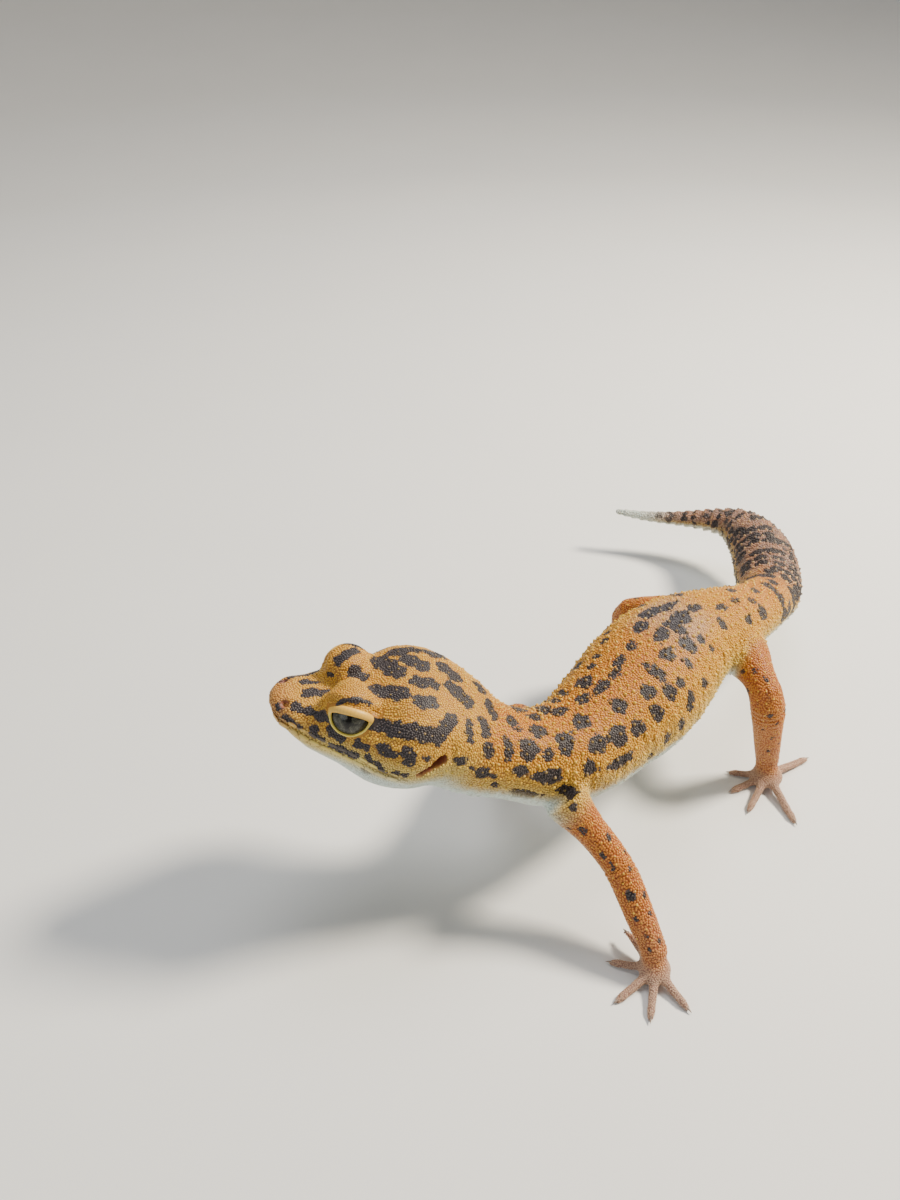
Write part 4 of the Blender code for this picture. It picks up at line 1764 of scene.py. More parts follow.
    def rings_on_tail(self) -> Roots:
        """One row of larger, rearward-pointing tubercles at the crest of each whorl.

        Returns:
            The tubercles' roots.
        """
        found: list[Planted] = []
        spots = np.arange(8.0, Markings.whorl_start + 0.5, 0.05)
        phase = whorl_phase(spots) % 1.0
        crests = spots[:-1][(phase[:-1] > 0.80) & (phase[1:] <= 0.80)]
        for row, along in enumerate(crests):
            _, _, _, _, halves = self.anatomy.spine.frame(np.array([along]))
            radius = float(halves[0].mean())
            size = 0.35 + 0.65 * float(smooth(1.2, 5.5, radius))
            turn = math.degrees(1.75 * size / radius)
            for angle in np.arange(-138.0 + (turn / 2.0 if row % 2 else 0.0), 139.0, turn):
                hit = self.on_body(float(along), angle + self.random.uniform(-1.5, 1.5))
                if hit is not None:
                    found.append((*hit, tuple(size * half for half in self.tail_tubercle)))
        return self._gathered(found)

    def _gathered(self, found: list[Planted]) -> Roots:
        """Roots from a list of places, normals and half sizes.

        Args:
            found: The list.

        Returns:
            The roots.
        """
        points, normals, sizes = (np.array([item[k] for item in found]) for k in range(3))
        return self.roots(points, normals, lambda _: sizes)

    def labials(self, shift: float, count: int) -> Roots:
        """The row of plates along one lip, both sides and the one in front.

        Args:
            shift: How far the plates' middles lie above the mouth's line, in millimetres.
            count: How many plates stand on each side.

        Returns:
            The plates' roots.
        """
        head = self.anatomy.head
        path = np.array(MOUTH[1:-1])
        reach = lengths_along(path)
        found = []
        for share in (np.arange(count) + 0.6) / count:
            at = reach[-1] * share * 0.97
            spot = np.array([np.interp(at, reach, path[:, k]) for k in range(3)])
            after = np.array([np.interp(at + 0.4, reach, path[:, k]) for k in range(3)])
            half = reach[-1] / count / 2.0 * 0.99
            for side in SIDES.values():
                mirror = np.array([1.0, side, 1.0])
                lifted = (spot + [0.0, 0.0, shift]) * mirror
                root, normal = self.nearest(head.outwards(lifted))
                run = head.outwards(after * mirror) - head.outwards(spot * mirror)
                size = 1.0 - 0.25 * share
                found.append((root, normal, unit(run), (half, 0.44 * size, 0.11)))
        front = np.array([-0.4, 0.0, -1.5 + shift * 1.15])
        root, normal = self.nearest(head.outwards(front))
        found.append((root, normal, head.left, (1.0, 0.50, 0.12)))
        return Roots(*(np.array([item[k] for item in found]) for k in range(4)))


@dataclass
class Scales:
    """All the scales of the animal, region by region."""

    coat: Coat
    sockets: list[EyeSocket]
    finish: HideFinish
    clearance: float = 0.80  # a granule's least distance, in half widths of a large scale
    head_tubercle: float = 0.29
    leg_tubercle: float = 0.31
    quick_spacing: float = 2.2
    tree: KDTree = field(init=False)
    reach: Array = field(init=False)

    def build(self) -> list[bpy.types.Object]:
        """Plants tubercles and lip plates first, then granules in what room they leave.

        Returns:
            The pieces of the coat.
        """
        coat = self.coat
        trunk, tail = coat.rows_on_trunk(), coat.rings_on_tail()
        trunk = self._off_openings(trunk)
        head = self._small(self._rear_head, 1.15, self.head_tubercle)
        legs = self._small(self._leg_tops, 1.3, self.leg_tubercle)
        bump, plate = coat.tubercle, coat.plate.squared()
        large = [
            ("tubercles_body", bump, trunk, Lay.TUBERCLE, 0.12),
            ("tubercles_tail", bump, tail, Lay.TUBERCLE, 0.45),
            ("tubercles_head", bump, head, Lay.TUBERCLE, 0.0),
            ("tubercles_legs", bump, legs, Lay.TUBERCLE, 0.2),
            ("upper_lip_scales", plate, coat.labials(0.60, 13), Lay.LIP, 0.0),
            ("lower_lip_scales", plate, coat.labials(-0.60, 12), Lay.LIP, 0.0),
        ]
        pieces = [coat.plant(*row) for row in large]
        self._take([roots for _, _, roots, _, _ in large])
        coarse = 1.0
        for name, (low, high), spacing in (
            ("granules_snout", (181.0, 260.0), 0.31),
            ("granules_crown", (163.0, 181.0), 0.31),
            ("granules_neck", (140.0, 163.0), 0.34),
            ("granules_chest", (118.0, 140.0), 0.34),
            ("granules_loin", (96.0, 118.0), 0.34),
            ("granules_hips", (70.0, 96.0), 0.35),
            ("granules_tail", (-5.0, 70.0), 0.40),
        ):
            pieces.append(self._granules(name, self._stretch(low, high), spacing * coarse))
        for k, limb in enumerate(coat.anatomy.limbs):
            leg, foot = f"granules_{limb.name}", f"granules_{limb.foot}"
            pieces.append(self._granules(leg, self._leg(k), 0.34 * coarse))
            pieces.append(self._granules(foot, self._foot(k), 0.25 * coarse))
        for piece in pieces:
            self.finish.dress(piece)
        return pieces

    def _take(self, large: list[Roots]) -> None:
        """Notes the places and half widths of the large scales, to keep granules off them.

        Args:
            large: The roots of every kind of large scale.
        """
        places = np.concatenate([roots.points for roots in large])
        self.tree = KDTree(len(places))
        for k, place in enumerate(places):
            self.tree.insert(place, k)
        self.tree.balance()
        self.reach = np.concatenate([roots.sizes[:, :2].min(1) for roots in large])

    def _granules(self, name: str, mask: Mask, spacing: float) -> bpy.types.Object:
        """Fills one stretch of the skin with granules.

        Args:
            name: The new object's name.
            mask: The share of granules at each vertex of the skin.
            spacing: The least distance between two granules.

        Returns:
            The granules as one piece.
        """
        points, normals = self.coat.scatter(mask, spacing, len(name))
        found = [self.tree.find(point) for point in points]
        clear = np.array([gap > self.clearance * self.reach[k] for _, k, gap in found])
        points, normals = points[clear], normals[clear]
        roots = self.coat.roots(points, normals, lambda place: self._granule_sizes(place, spacing))
        shape = self.coat.granule if "snout" in name or "crown" in name else self.coat.grain
        return self.coat.plant(name, shape, self._off_openings(roots), Lay.GRANULE, 0.12)

    def _granule_sizes(self, place: Place, spacing: float) -> Array:
        """Sizes of granules: flat and wide on the belly, lower on the head.

        Args:
            place: Where the granules stand.
            spacing: The least distance between two of them.

        Returns:
            Half length, half width and height, one row for each granule.
        """
        random = self.coat.random
        belly = smooth(92.0, 120.0, np.abs(place.angle)) * (1.0 - place.limb_share)
        snout = smooth(12.0, 5.0, place.head[:, 0]) * (place.along > 175.0)
        head = smooth(155.0, 165.0, place.along) * (1.0 - place.limb_share)
        wide = spacing * (0.80 - 0.08 * head) * (1.0 + 0.30 * belly + 0.10 * snout)
        wide = wide * random.uniform(0.88, 1.12, len(belly))
        high = wide * (0.46 - 0.04 * head - 0.22 * belly)
        high = high * random.uniform(0.85, 1.15, len(belly))
        return np.stack([wide * (1.0 + 0.12 * belly), wide, high], axis=-1)

    def _small(self, mask: Mask, spacing: float, radius: float) -> Roots:
        """Small tubercles, evenly spread.

        Args:
            mask: The share of tubercles at each vertex of the skin.
            spacing: The least distance between two tubercles.
            radius: The half length of one.

        Returns:
            The tubercles' roots.
        """
        points, normals = self.coat.scatter(mask, spacing, 5)
        random = self.coat.random

        def sizes(place: Place) -> Array:
            """The half length, half width and height of each tubercle."""
            size = radius * random.uniform(0.8, 1.15, len(place.along))
            return np.stack([size, size * 0.92, size * 0.62], axis=-1)

        return self._off_openings(self.coat.roots(points, normals, sizes))

    def _off_openings(self, roots: Roots) -> Roots:
        """Leaves out what would stand in the eyes, ears, nostrils or the mouth's line.

        Args:
            roots: Where scales might stand.

        Returns:
            The roots that stand clear.
        """
        mirrored = on_left(self.coat.anatomy.head.inwards(roots.points))
        clear = np.linalg.norm(mirrored - NOSTRIL, axis=1) > 0.78
        clear &= from_ear(mirrored) > 0.82
        clear &= near_path(mirrored, np.array(MOUTH))[0] > 0.30
        for socket in self.sockets:
            rise, outside, reach = socket.around(roots.points)
            clear &= (outside > socket.band(rise) - 0.05) | (reach > socket.ball_radius + 1.1)
        return roots.kept(clear)

    @staticmethod
    def _stretch(low: float, high: float) -> Mask:
        """A mask for one length of the body.

        Args:
            low: Where the stretch starts along the spine.
            high: Where it ends.

        Returns:
            The mask, thinner under the belly.
        """

        def mask(place: Place, _: Array) -> Array:
            """One share for each vertex."""
            inside = (place.along >= low) & (place.along < high) & (place.limb_share < 0.5)
            return inside * (1.0 - 0.15 * smooth(100.0, 125.0, np.abs(place.angle)))

        return mask

    @staticmethod
    def _leg(number: int) -> Mask:
        """A mask for one leg down to its wrist or ankle.

        Args:
            number: Which leg.

        Returns:
            The mask.
        """

        def mask(place: Place, _: Array) -> Array:
            """One share for each vertex."""
            mine = (place.limb == number) & (place.limb_share >= 0.5) & (place.foot < 0.5)
            return mine.astype(float)

        return mask

    @staticmethod
    def _foot(number: int) -> Mask:
        """A mask for one foot, but for its sole.

        Args:
            number: Which leg.

        Returns:
            The mask.
        """

        def mask(place: Place, normals: Array) -> Array:
            """One share for each vertex."""
            mine = (place.limb == number) & (place.foot >= 0.5)
            return mine * smooth(-0.85, -0.7, normals[:, 2])

        return mask

    @staticmethod
    def _rear_head(place: Place, _: Array) -> Array:
        """A mask for the crown, the temples and the cheeks.

        Args:
            place: Where the skin's vertices lie.

        Returns:
            One share for each vertex.
        """
        behind, _, up = place.head.T
        rear = smooth(12.0, 17.0, behind) * (behind < 33.0) * (place.along > 160.0)
        return rear * smooth(-4.5, -3.0, up) * (place.limb_share < 0.5)

    @staticmethod
    def _leg_tops(place: Place, normals: Array) -> Array:
        """A mask for the upper sides of the legs.

        Args:
            place: Where the skin's vertices lie.
            normals: The skin's normals there.

        Returns:
            One share for each vertex.
        """
        leg = (place.limb_share > 0.75) & (place.foot < 0.3)
        return leg * smooth(-0.35, 0.05, normals[:, 2]) * smooth(1.0, 0.85, place.limb_along)


# ---- lids, eyes and claws ----


@dataclass
class Lids:
    """The thickened edge of both lids of one eye, a closed ring."""

    socket: EyeSocket
    upper_thickness: float = 0.36
    lower_thickness: float = 0.24
    tube: float = 0.4  # the ring's section before it is laid, on a ring of radius 1
    scales: int = 40
    steps: int = 320
    sides: int = 12

    def build(self) -> bpy.types.Object:
        """Spins a ring and lays it round the opening.

        Returns:
            The lids' edge.
        """
        bm = bmesh.new()
        turned = Matrix.Translation((1.0, 0.0, 0.0)) @ Matrix.Rotation(math.pi / 2.0, 4, "X")
        bmesh.ops.create_circle(bm, segments=self.sides, radius=self.tube, matrix=turned)
        spin_round(bm, self.steps)
        crowns = []
        for vert in bm.verts:
            bearing = math.atan2(vert.co.y, vert.co.x)
            outward = (math.hypot(vert.co.x, vert.co.y) - 1.0) / self.tube
            raised = vert.co.z / self.tube
            place, crown = self._lay(bearing, outward, raised)
            vert.co = Vector(place * MM)
            crowns.append(crown)
        face_outwards(bm)
        lid = new_object(f"lid_edge_{self.socket.side}", bm)
        add_vectors(lid.data, "rim", np.array(crowns))
        return lid

    def _lay(self, bearing: float, outward: float, raised: float) -> tuple[Array, Triple]:
        """Where a place on the ring goes, and what its material reads there.

        Args:
            bearing: The angle round the opening.
            outward: The ring's own section, -1 at the eye and 1 away from it.
            raised: The ring's own section, -1 inwards and 1 outwards.

        Returns:
            The place, and upper lid's share, height over the notches and height of the section.
        """
        share = float(smooth(-0.35, 0.30, math.sin(bearing)))
        half_width = 0.5 * float(self.socket.band(math.sin(bearing)))
        thick = self.lower_thickness + (self.upper_thickness - self.lower_thickness) * share
        notch = abs(math.sin(bearing * self.scales / 2.0)) ** 0.5
        swell = 1.0 - 0.10 * (1.0 - notch) * max(0.0, raised) * (1.0 - 0.6 * share)
        middle = self.socket.ball_radius + 0.16 + 0.10 * share
        radius = middle + thick * swell * raised - 0.06 * share * outward
        place = self.socket.on_lid(bearing, half_width * (0.95 + outward), radius)
        return place, (share, notch, 0.5 + 0.5 * raised)


@dataclass
class Eye:
    """One eyeball with its raised cornea."""

    socket: EyeSocket
    cornea_rise: float = 0.30
    cornea_width: float = math.radians(34.0)
    slit_lean: float = math.radians(7.0)

    def build(self) -> bpy.types.Object:
        """Turns a sphere's pole to the way the eye looks and raises the cornea.

        Returns:
            The eyeball.
        """
        bm = bmesh.new()
        bmesh.ops.create_uvsphere(bm, u_segments=80, v_segments=56, radius=1.0)
        look, forward, upward = self.socket.axes
        seen = []
        for vert in bm.verts:
            off_axis = math.acos(max(-1.0, min(1.0, vert.co.z)))
            radius = self.socket.ball_radius - 0.02
            radius += self.cornea_rise * math.exp(-((off_axis / self.cornea_width) ** 2))
            direction = forward * vert.co.x + upward * vert.co.y + look * vert.co.z
            leaned = vert.co.x + vert.co.y * math.tan(self.slit_lean)
            seen.append((leaned, vert.co.y, off_axis))
            vert.co = Vector((self.socket.centre + direction * radius) * MM)
        face_outwards(bm)
        eye = new_object(f"eyeball_{self.socket.side}", bm)
        add_vectors(eye.data, "iris", np.array(seen))
        return eye


@dataclass
class Claws:
    """The five claws of one foot."""

    limb: Limb
    length: float = 1.9
    root_radius: float = 0.36
    arch: float = 0.26
    rings: int = 8
    sides: int = 10

    def build(self, nodes: dict[str, bpy.types.Object]) -> bpy.types.Object:
        """Sets a small curved claw at the tip of each toe.

        Args:
            nodes: The CAD nodes by name.

        Returns:
            The claws, joined.
        """
        bm = bmesh.new()
        for tip, direction in self.limb.toes(nodes):
            self._claw(bm, tip, direction)
        return new_object(f"claws_{self.limb.foot}", bm)

    def _claw(self, bm: bmesh.types.BMesh, tip: Array, direction: Array) -> None:
        """Adds one claw: rings along an arch, bridged and closed at both ends.

        Args:
            bm: The claws so far.
            tip: The toe's tip.
            direction: The way that the toe points.
        """
        flat = unit(np.array([direction[0], direction[1], 0.0]))
        beside = np.cross(UP, flat)
        start = tip - flat * (self.length - 0.80)
        loops = []
        for k in range(self.rings):
            share = k / (self.rings - 1)
            radius = self.root_radius * (1.0 - share) ** 0.75 + 0.035
            rise = self.arch * math.sin(math.pi * share * 0.8) - 0.20 * share
            centre = start + flat * self.length * share + UP * (rise + 0.05)
            ring = bmesh.ops.create_circle(bm, segments=self.sides, radius=1.0)["verts"]
            for vert in ring:
                offset = beside * vert.co.x * 0.8 * radius + UP * vert.co.y * radius
                vert.co = Vector((centre + offset) * MM)
            loops.append(ring)
        for one, two in zip(loops, loops[1:]):
            rims = [edge for edge in bm.edges if {*edge.verts} <= {*one} or {*edge.verts} <= {*two}]
            bmesh.ops.bridge_loops(bm, edges=rims)
        for ring in (loops[0], loops[-1]):
            bmesh.ops.contextual_create(bm, geom=ring)
        bmesh.ops.recalc_face_normals(bm, faces=bm.faces)


# ---- materials ----


Tone = Color | bpy.types.NodeSocket


class Signal:
    """A shader value that takes part in Python expressions, each of which adds a Math node."""

    def __init__(self, graph: Graph, socket: bpy.types.NodeSocket) -> None:
        """Wraps an output socket of a material's graph."""
        self.graph = graph
        self.socket = socket

    def _math(self, operation: str, *values: Signal | float) -> Signal:
        """Adds one Math node."""
        inputs = dict(enumerate(values))
        return self.graph.value("ShaderNodeMath", {"operation": operation}, inputs)

    def __add__(self, other: Signal | float) -> Signal:
        """The sum."""
        return self._math("ADD", self, other)

    def __radd__(self, other: float) -> Signal:
        """The sum with a number on the left."""
        return self._math("ADD", other, self)

    def __sub__(self, other: Signal | float) -> Signal:
        """The difference."""
        return self._math("SUBTRACT", self, other)

    def __rsub__(self, other: float) -> Signal:
        """The difference with a number on the left."""
        return self._math("SUBTRACT", other, self)

    def __mul__(self, other: Signal | float) -> Signal:
        """The product."""
        return self._math("MULTIPLY", self, other)

    def __rmul__(self, other: float) -> Signal:
        """The product with a number on the left."""
        return self._math("MULTIPLY", other, self)

    def __pow__(self, other: float) -> Signal:
        """A power."""
        return self._math("POWER", self, other)

    def size(self) -> Signal:
        """The value without its sign."""
        return self._math("ABSOLUTE", self)

    def larger(self, other: Signal | float) -> Signal:
        """The larger of two values."""
        return self._math("MAXIMUM", self, other)

    def rise(self, low: float, high: float) -> Signal:
        """An even S-shaped rise from 0 at low to 1 at high.

        Args:
            low: Where the rise starts.
            high: Where it ends.

        Returns:
            The new signal.
        """
        settings = {"interpolation_type": "SMOOTHSTEP"}
        inputs = {"Value": self, "From Min": low, "From Max": high}
        return self.graph.value("ShaderNodeMapRange", settings, inputs)

    def fall(self, low: float, high: float) -> Signal:
        """An even fall from 1 at low to 0 at high."""
        return 1.0 - self.rise(low, high)


Shade = Signal | float


class Graph:
    """One material's nodes, all added by one method."""

    def __init__(self, name: str) -> None:
        """Starts a material with a Principled shader.

        Args:
            name: The material's name.
        """
        self.material = bpy.data.materials.new(name)
        self.material.use_nodes = True
        self.tree = self.material.node_tree
        self.shader = self.tree.nodes["Principled BSDF"]

    def node(
        self, kind: str, settings: dict[str, object] | None = None, inputs: dict | None = None
    ) -> bpy.types.Node:
        """Adds a node: its settings first, then the values or links of its sockets.

        Args:
            kind: The node's type.
            settings: Its settings by name.
            inputs: Its sockets, by name or number, with a value, a colour or a link each.

        Returns:
            The new node.
        """
        node = self.tree.nodes.new(kind)
        for name, value in (settings or {}).items():
            setattr(node, name, value)
        for key, value in (inputs or {}).items():
            self._feed(node.inputs[key], value)
        return node

    def _feed(self, socket: bpy.types.NodeSocket, value: object) -> None:
        """Links a socket, or sets its own value.

        Args:
            socket: The socket.
            value: A signal, another socket, a colour or a number.
        """
        if isinstance(value, Signal):
            self.tree.links.new(value.socket, socket)
        elif isinstance(value, bpy.types.NodeSocket):
            self.tree.links.new(value, socket)
        elif isinstance(value, tuple) and socket.type == "RGBA":
            socket.default_value = (*value, 1.0)
        else:
            socket.default_value = value

    def value(self, kind: str, settings: dict[str, object], inputs: dict) -> Signal:
        """Adds a node and wraps its first output."""
        return Signal(self, self.node(kind, settings, inputs).outputs[0])

    def mix(self, share: Shade, one: Tone, two: Tone, blend: str = "MIX") -> Tone:
        """A colour between two colours, or blended in another way.

        Args:
            share: How much the second colour counts.
            one: The first colour.
            two: The second colour.
            blend: The way they are blended.

        Returns:
            The blended colour's socket.
        """
        settings = {"data_type": "RGBA", "blend_type": blend, "clamp_factor": True}
        return self.node("ShaderNodeMix", settings, {0: share, 6: one, 7: two}).outputs[2]

    def tint(self, share: Shade, color: Tone, by: Color) -> Tone:
        """A colour multiplied by another where share is 1."""
        return self.mix(share, color, by, "MULTIPLY")

    def place(self) -> bpy.types.NodeSocket:
        """Object coordinates, in metres."""
        return self.node("ShaderNodeTexCoord").outputs["Object"]

    def parts(self, name: str) -> tuple[Signal, Signal, Signal]:
        """The three numbers of an attribute of the mesh.

        Args:
            name: The attribute's name.

        Returns:
            Its three numbers.
        """
        source = self.node("ShaderNodeAttribute", {"attribute_name": name})
        split = self.node("ShaderNodeSeparateXYZ", inputs={0: source.outputs["Vector"]})
        return tuple(Signal(self, split.outputs[k]) for k in range(3))

    def noise(self, size: float, detail: float = 2.0, distortion: float = 0.0) -> Signal:
        """Soft noise from 0 to 1 about 0.5, with lumps of about a size in millimetres.

        Args:
            size: The size of the lumps.
            detail: How many finer layers it has.
            distortion: How far it is stirred.

        Returns:
            The noise.
        """
        inputs = {
            "Vector": self.place(),
            "Scale": 1.0 / (size * MM),
            "Detail": detail,
            "Roughness": 0.55,
            "Distortion": distortion,
        }
        return self.value("ShaderNodeTexNoise", {"noise_dimensions": "3D"}, inputs)

    def bump(self, height: Signal, depth: float, strength: float = 1.0) -> None:
        """Feeds the shader's normal from a height in a depth of so many millimetres.

        Args:
            height: The height, from 0 to 1.
            depth: The depth of a height of 1.
            strength: How strongly it shows.
        """
        inputs = {"Strength": strength, "Distance": depth * MM, "Height": height}
        node = self.node("ShaderNodeBump", inputs=inputs)
        self._feed(self.shader.inputs["Normal"], node.outputs["Normal"])

    def finish(self, **sockets: object) -> bpy.types.Material:
        """Sets the shader's own sockets by their names, written with underscores.

        Args:
            sockets: The sockets' values or links.

        Returns:
            The finished material.
        """
        for name, value in sockets.items():
            self._feed(self.shader.inputs[name.replace("_", " ")], value)
        return self.material


@dataclass(frozen=True)
class HideFinish:
    """The painted hide of skin and scales alike."""

    yellow: Color = (0.66, 0.325, 0.002)
    orange: Color = (0.54, 0.135, 0.001)
    cream: Color = (0.74, 0.62, 0.18)
    pink: Color = (0.50, 0.17, 0.09)
    white: Color = (0.66, 0.76, 0.70)
    tail_rose: Color = (0.40, 0.22, 0.14)
    tail_grey: Color = (0.26, 0.18, 0.15)
    foot_grey: Color = (0.50, 0.34, 0.30)
    # A lavender-grey painted sheen for the ground on top of the mid-back.
    lavender_sheen: Color = (0.44, 0.40, 0.40)
    flesh: Color = (0.50, 0.19, 0.13)
    brown: Color = (0.012, 0.006, 0.007)
    slate: Color = (0.024, 0.026, 0.042)
    # tip: the yellow painted on scale tops, partly the tubercles' own pale tips and partly painted
    # highlight
    tip: Color = (0.90, 0.62, 0.05)

    def material(self) -> bpy.types.Material:
        """Ground colours, then marks, then each scale's painted highlight, painted shade and own
        tone.

        Returns:
            The hide's material.
        """
        graph = Graph("hide")
        orange, pale, pink = graph.parts("tones")
        belly, tail, bare = graph.parts("zones")
        depth, blue, foot = graph.parts("marks")
        crown, variety, tip = graph.parts("grain")
        broad, fine = graph.noise(2.6, 3.0), graph.noise(0.55, 2.0)
        ground = graph.mix(orange + (broad - 0.5) * 0.7, self.yellow, self.orange)
        ground = graph.mix(pale + (fine - 0.5) * 0.25, ground, self.cream)
        ground = graph.mix(pink + (broad - 0.5) * 0.3 * pink, ground, self.pink)
        tail_color = graph.mix(broad.rise(0.36, 0.64), self.tail_rose, self.tail_grey)
        ground = graph.mix(tail * (1.0 - pale) * 0.92, ground, tail_color)
        # Painted sheen: a lavender-grey veil over the ground on top of the mid-back, where the
        # marks are blue-grey.
        ground = graph.mix((blue - 0.3).larger(0.0) * 0.60, ground, self.lavender_sheen)
        ground = graph.mix(belly, ground, self.white)
        ground = graph.mix(foot * 0.85, ground, self.foot_grey)
        # Painted highlight: each scale's top is painted paler yellow by its height, less on the
        # tail and not on the belly; on tubercles it is also their own pale tips.
        pale_tip_and_highlight = (tip * (0.78 - 0.5 * tail) + 0.16 - 0.16 * tail) * crown
        ground = graph.mix(pale_tip_and_highlight * (1.0 - belly), ground, self.tip)
        edge = depth + (graph.noise(0.9, 3.0) - 0.5) * 0.5 + (variety - 0.5) * 0.14
        mark = edge.rise(-0.07, 0.10) * (1.0 - belly * 0.75)
        dark = graph.mix(blue, self.brown, self.slate)
        # Painted highlight: inside a mark each scale's top is painted lighter, by its height.
        dark = graph.mix(crown * 0.11 + fine * 0.04, dark, (0.34, 0.27, 0.27))
        color = graph.mix(mark * (1.0 - tip * crown * 0.35), ground, dark)
        color = graph.mix(bare, color, self.flesh)
        # Painted shade: each scale darkens towards its root and the skin between scales darkens
        # most, as shade in the crevices, less on the belly.
        gap = (1.0 - crown) * (0.80 - belly * 0.45)
        color = graph.tint(gap, color, (0.40, 0.27, 0.20))
        color = graph.tint(variety * 0.30, color, (0.74, 0.68, 0.62))
        graph.bump(graph.noise(0.11, 2.0), 0.03, 0.5)
        return graph.finish(
            Base_Color=color,
            Roughness=0.68 - crown * 0.26 - fine * 0.14,
            Subsurface_Weight=0.06,
            Subsurface_Radius=(1.0, 0.45, 0.25),
            Subsurface_Scale=0.0006,
        )

    def dress(self, piece: bpy.types.Object) -> None:
        """Gives a piece the one shared hide material."""
        material = bpy.data.materials.get("hide") or self.material()
        piece.data.materials.append(material)


@dataclass(frozen=True)
class LidFinish:
    """The pale edges of the lids."""

    upper: Color = (0.78, 0.46, 0.07)
    lower: Color = (0.78, 0.62, 0.10)
    # The seams' dark colour, also used as painted shade on the edge's inner side against the
    # eyeball.
    seam_and_crease_shade: Color = (0.22, 0.09, 0.02)

    def material(self) -> bpy.types.Material:
        """Yellow edges with darker seams between their small scales, and painted shade on the
        edge's inner side against the eyeball.

        Returns:
            The lids' material.
        """
        graph = Graph("lid_edge")
        share, notch, height = graph.parts("rim")
        color = graph.mix(share, self.lower, self.upper)
        color = graph.mix(notch.fall(0.25, 0.75) * 0.14 * share, color, self.seam_and_crease_shade)
        # Painted shade: the inner half of the edge, where it tucks against the eyeball, is
        # darkened.
        color = graph.mix(height.fall(0.15, 0.45) * 0.8, color, self.seam_and_crease_shade)
        fine = graph.noise(0.3, 2.0)
        color = graph.tint(fine * 0.35, color, (0.7, 0.62, 0.5))
        graph.bump(graph.noise(0.1, 2.0), 0.02, 0.5)
        return graph.finish(Base_Color=color, Roughness=0.34 + fine * 0.14)


@dataclass(frozen=True)
class EyeFinish:
    """A silver-grey, veined iris with an upright slit, under a clear wet surface."""

    silver: Color = (0.085, 0.085, 0.062)
    shade: Color = (0.014, 0.015, 0.012)
    vein: Color = (0.006, 0.006, 0.005)
    ring: Color = (0.006, 0.005, 0.004)

    def material(self) -> bpy.types.Material:
        """Iris, veins, pupil and the dark outer ring.

        Returns:
            The eyes' material.
        """
        graph = Graph("eye")
        across, above, off_axis = graph.parts("iris")
        broad, fine = graph.noise(1.1, 3.0, 0.6), graph.noise(0.42, 4.0, 1.6)
        color = graph.mix(broad.rise(0.35, 0.65), self.shade, self.silver)
        veins = (fine - 0.5).size().fall(0.01, 0.055)
        color = graph.mix(veins * 0.75, color, self.vein)
        color = graph.mix(off_axis.rise(0.62, 0.86), color, self.ring)
        length = above.size() * 1.65
        width = (1.0 - length * length).larger(0.0) * 0.10
        scallop = graph.value("ShaderNodeMath", {"operation": "SINE"}, {0: above * 34.0})
        pupil = (across.size() - width * (1.0 + scallop * 0.16)).fall(-0.010, 0.006)
        color = graph.mix(pupil * length.fall(0.97, 1.0), color, (0.002, 0.002, 0.002))
        return graph.finish(
            Base_Color=color, Roughness=0.12, IOR=1.30, Coat_Weight=0.15, Coat_Roughness=0.02
        )


@dataclass(frozen=True)
class ClawFinish:
    """Horn, streaked pale and brown."""

    horn: Color = (0.34, 0.25, 0.20)
    dark: Color = (0.12, 0.08, 0.06)

    def material(self) -> bpy.types.Material:
        """Streaked horn.

        Returns:
            The claws' material.
        """
        graph = Graph("claw")
        streak = graph.noise(0.35, 3.0)
        color = graph.mix(streak.rise(0.35, 0.7), self.horn, self.dark)
        graph.bump(streak, 0.02, 0.5)
        return graph.finish(Base_Color=color, Roughness=0.30 + streak * 0.15)


@dataclass(frozen=True)
class FloorFinish:
    """Plain pale card."""

    card: Color = (0.84, 0.83, 0.81)
    shade: Color = (0.80, 0.79, 0.77)

    def material(self) -> bpy.types.Material:
        """A nearly even pale surface.

        Returns:
            The floor's material.
        """
        graph = Graph("card")
        cloud = graph.noise(60.0, 2.0)
        color = graph.mix(cloud, self.card, self.shade)
        return graph.finish(Base_Color=color, Roughness=0.78 + cloud * 0.1)


# ---- studio ----


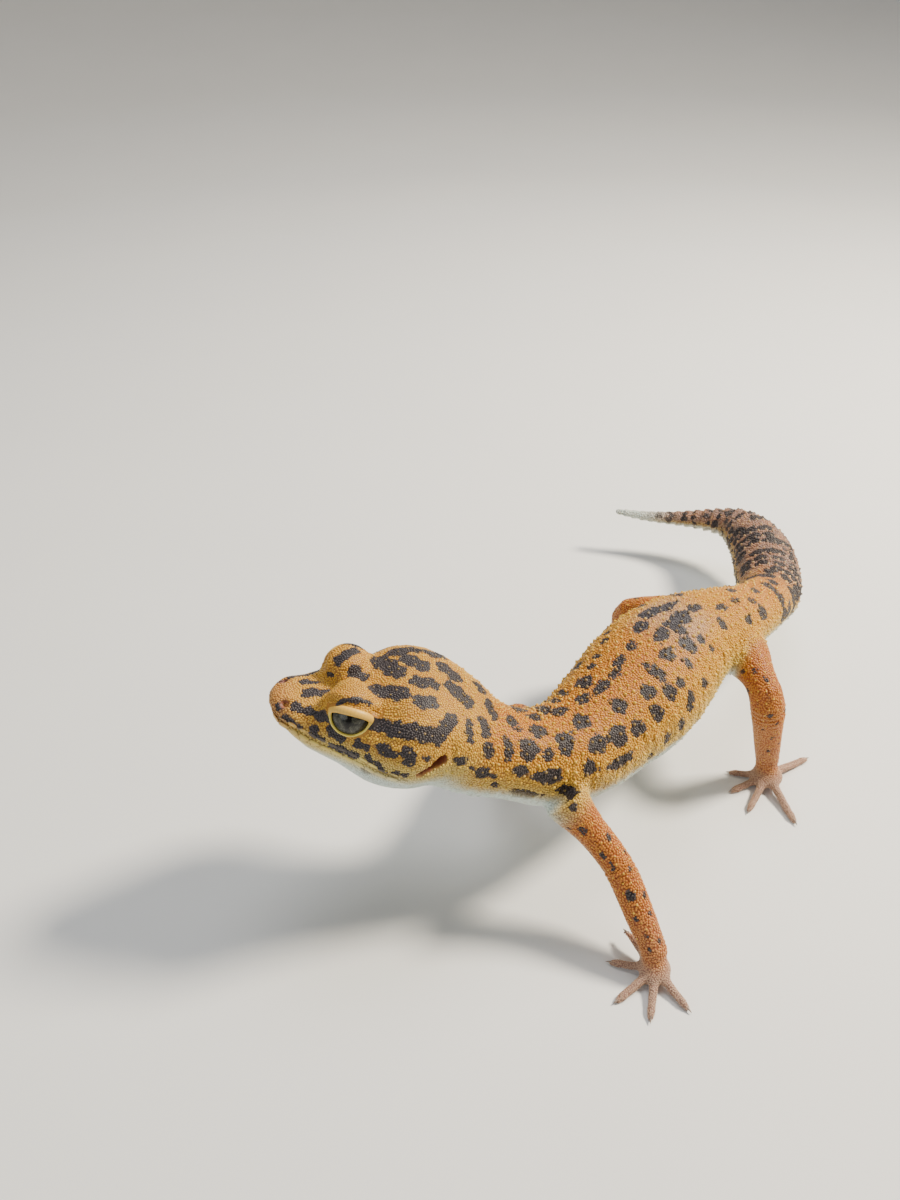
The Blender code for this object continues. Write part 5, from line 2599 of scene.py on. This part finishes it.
@dataclass
class Studio:
    """The floor, the soft lights and the camera, in metres."""

    camera_place: Triple = (0.12334, 0.06851, 0.142)
    camera_ahead: Triple = (-0.5627, -0.55166, -0.61566)
    lens: float = 27.18
    floor_reach: float = 0.5
    bend: float = 1.1
    wall_height: float = 1.4

    def build(self) -> None:
        """Sets up the floor, the lights and the camera."""
        self._floor()
        self._lights()
        self._camera()

    def _floor(self) -> None:
        """A pale floor that curves up into a low wall all round."""
        bm = bmesh.new()
        turns = [math.radians(angle) for angle in range(0, 91, 10)]
        section = [(0.0, 0.0)] + [
            (self.floor_reach + self.bend * math.sin(turn), self.bend * (1.0 - math.cos(turn)))
            for turn in turns
        ]
        section.append((self.floor_reach + self.bend, self.wall_height))
        verts = [bm.verts.new((reach, 0.0, height)) for reach, height in section]
        for one, two in zip(verts, verts[1:]):
            bm.edges.new((one, two))
        spin_round(bm, 72)
        bmesh.ops.recalc_face_normals(bm, faces=bm.faces)
        floor = new_object("floor", bm)
        floor.data.materials.append(FloorFinish().material())

    def _lights(self) -> None:
        """A warm key from behind on the right, a cool fill from the left and a broad top light."""
        up = Vector(UP)
        ahead = Vector((self.camera_ahead[0], self.camera_ahead[1], 0.0)).normalized()
        right = ahead.cross(up)
        for name, place, size, power, color in (
            ("key", right * 0.36 + ahead * 0.10 + up * 0.42, 0.12, 7.4, (1.0, 0.91, 0.75)),
            ("fill", right * -0.42 - ahead * 0.34 + up * 0.26, 0.45, 1.0, (0.86, 0.93, 1.0)),
            ("top", ahead * 0.22 + up * 0.62, 0.34, 2.0, (0.96, 0.98, 1.0)),
        ):
            lamp = bpy.data.lights.new(name, "AREA")
            lamp.shape = "DISK"
            lamp.size = size
            lamp.energy = power
            lamp.color = color
            holder = bpy.data.objects.new(name, lamp)
            holder.location = place
            aim = Vector((0.02, 0.0, 0.02)) - place
            holder.rotation_euler = aim.to_track_quat("-Z", "Y").to_euler()
            bpy.context.scene.collection.objects.link(holder)
        world = bpy.data.worlds.new("studio")
        world.use_nodes = True
        background = world.node_tree.nodes["Background"]
        background.inputs["Color"].default_value = (0.92, 0.95, 1.0, 1.0)
        background.inputs["Strength"].default_value = 0.15
        bpy.context.scene.world = world

    def _camera(self) -> None:
        """The camera, level across and looking down on the animal from its left front."""
        lens = bpy.data.cameras.new("camera")
        lens.lens = self.lens
        lens.sensor_width = 36.0
        lens.sensor_fit = "AUTO"
        lens.clip_start = 0.01
        camera = bpy.data.objects.new("camera", lens)
        camera.location = self.camera_place
        look = Vector(self.camera_ahead)
        camera.rotation_euler = look.to_track_quat("-Z", "Y").to_euler()
        bpy.context.scene.collection.objects.link(camera)
        bpy.context.scene.camera = camera


# ---- assembly ----


@dataclass
class Gecko:
    """The whole animal, built piece by piece on its frame."""

    nodes: dict[str, bpy.types.Object]

    def build(self) -> None:
        """Makes the skin, its scales, the lids, the eyes and the claws."""
        anatomy = Anatomy(self.nodes)
        markings = Markings(anatomy)
        sockets = [EyeSocket(side, anatomy.head) for side in SIDES]
        hide = HideFinish()
        skin = Skin(anatomy, markings, sockets)
        body = skin.build()
        hide.dress(body)
        self._ride(body, "body_skin")
        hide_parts(*skin.flesh)
        for piece in Scales(Coat(anatomy, markings, body), sockets, hide).build():
            self._ride(piece, self._slot_of(piece.name))
        lid_edge, eye_ball = LidFinish().material(), EyeFinish().material()
        for socket in sockets:
            lid = Lids(socket).build()
            lid.data.materials.append(lid_edge)
            self._ride(lid, "body_skin")
            eye = Eye(socket).build()
            eye.data.materials.append(eye_ball)
            self._ride(eye, "eye")
            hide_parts(f"eye_{socket.side}")
        horn = ClawFinish().material()
        for limb in anatomy.limbs:
            claws = Claws(limb).build(self.nodes)
            claws.data.materials.append(horn)
            self._ride(claws, "foot_skin")

    @staticmethod
    def _slot_of(name: str) -> str:
        """A slot name for a piece of the coat.

        Args:
            name: The piece's name.

        Returns:
            The slot.
        """
        if "tail" in name:
            return "tail_skin"
        if "arm" in name or "leg" in name:
            return "limb_skin"
        if "hand" in name or "foot" in name:
            return "foot_skin"
        return "body_skin"

    @staticmethod
    def _ride(piece: bpy.types.Object, slot: str) -> None:
        """Fixes a finished piece to the one body and reports it.

        Args:
            piece: The piece.
            slot: Not used.
        """
        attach(piece, "root")
        LOG.info("%s: %d faces", piece.name, len(piece.data.polygons))


def main() -> None:
    """Builds the gecko on its frame."""
    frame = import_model()
    Gecko(frame["nodes"]).build()
    Studio().build()


if __name__ == "__main__":
    logging.basicConfig(level=logging.INFO, format="%(message)s")
    main()
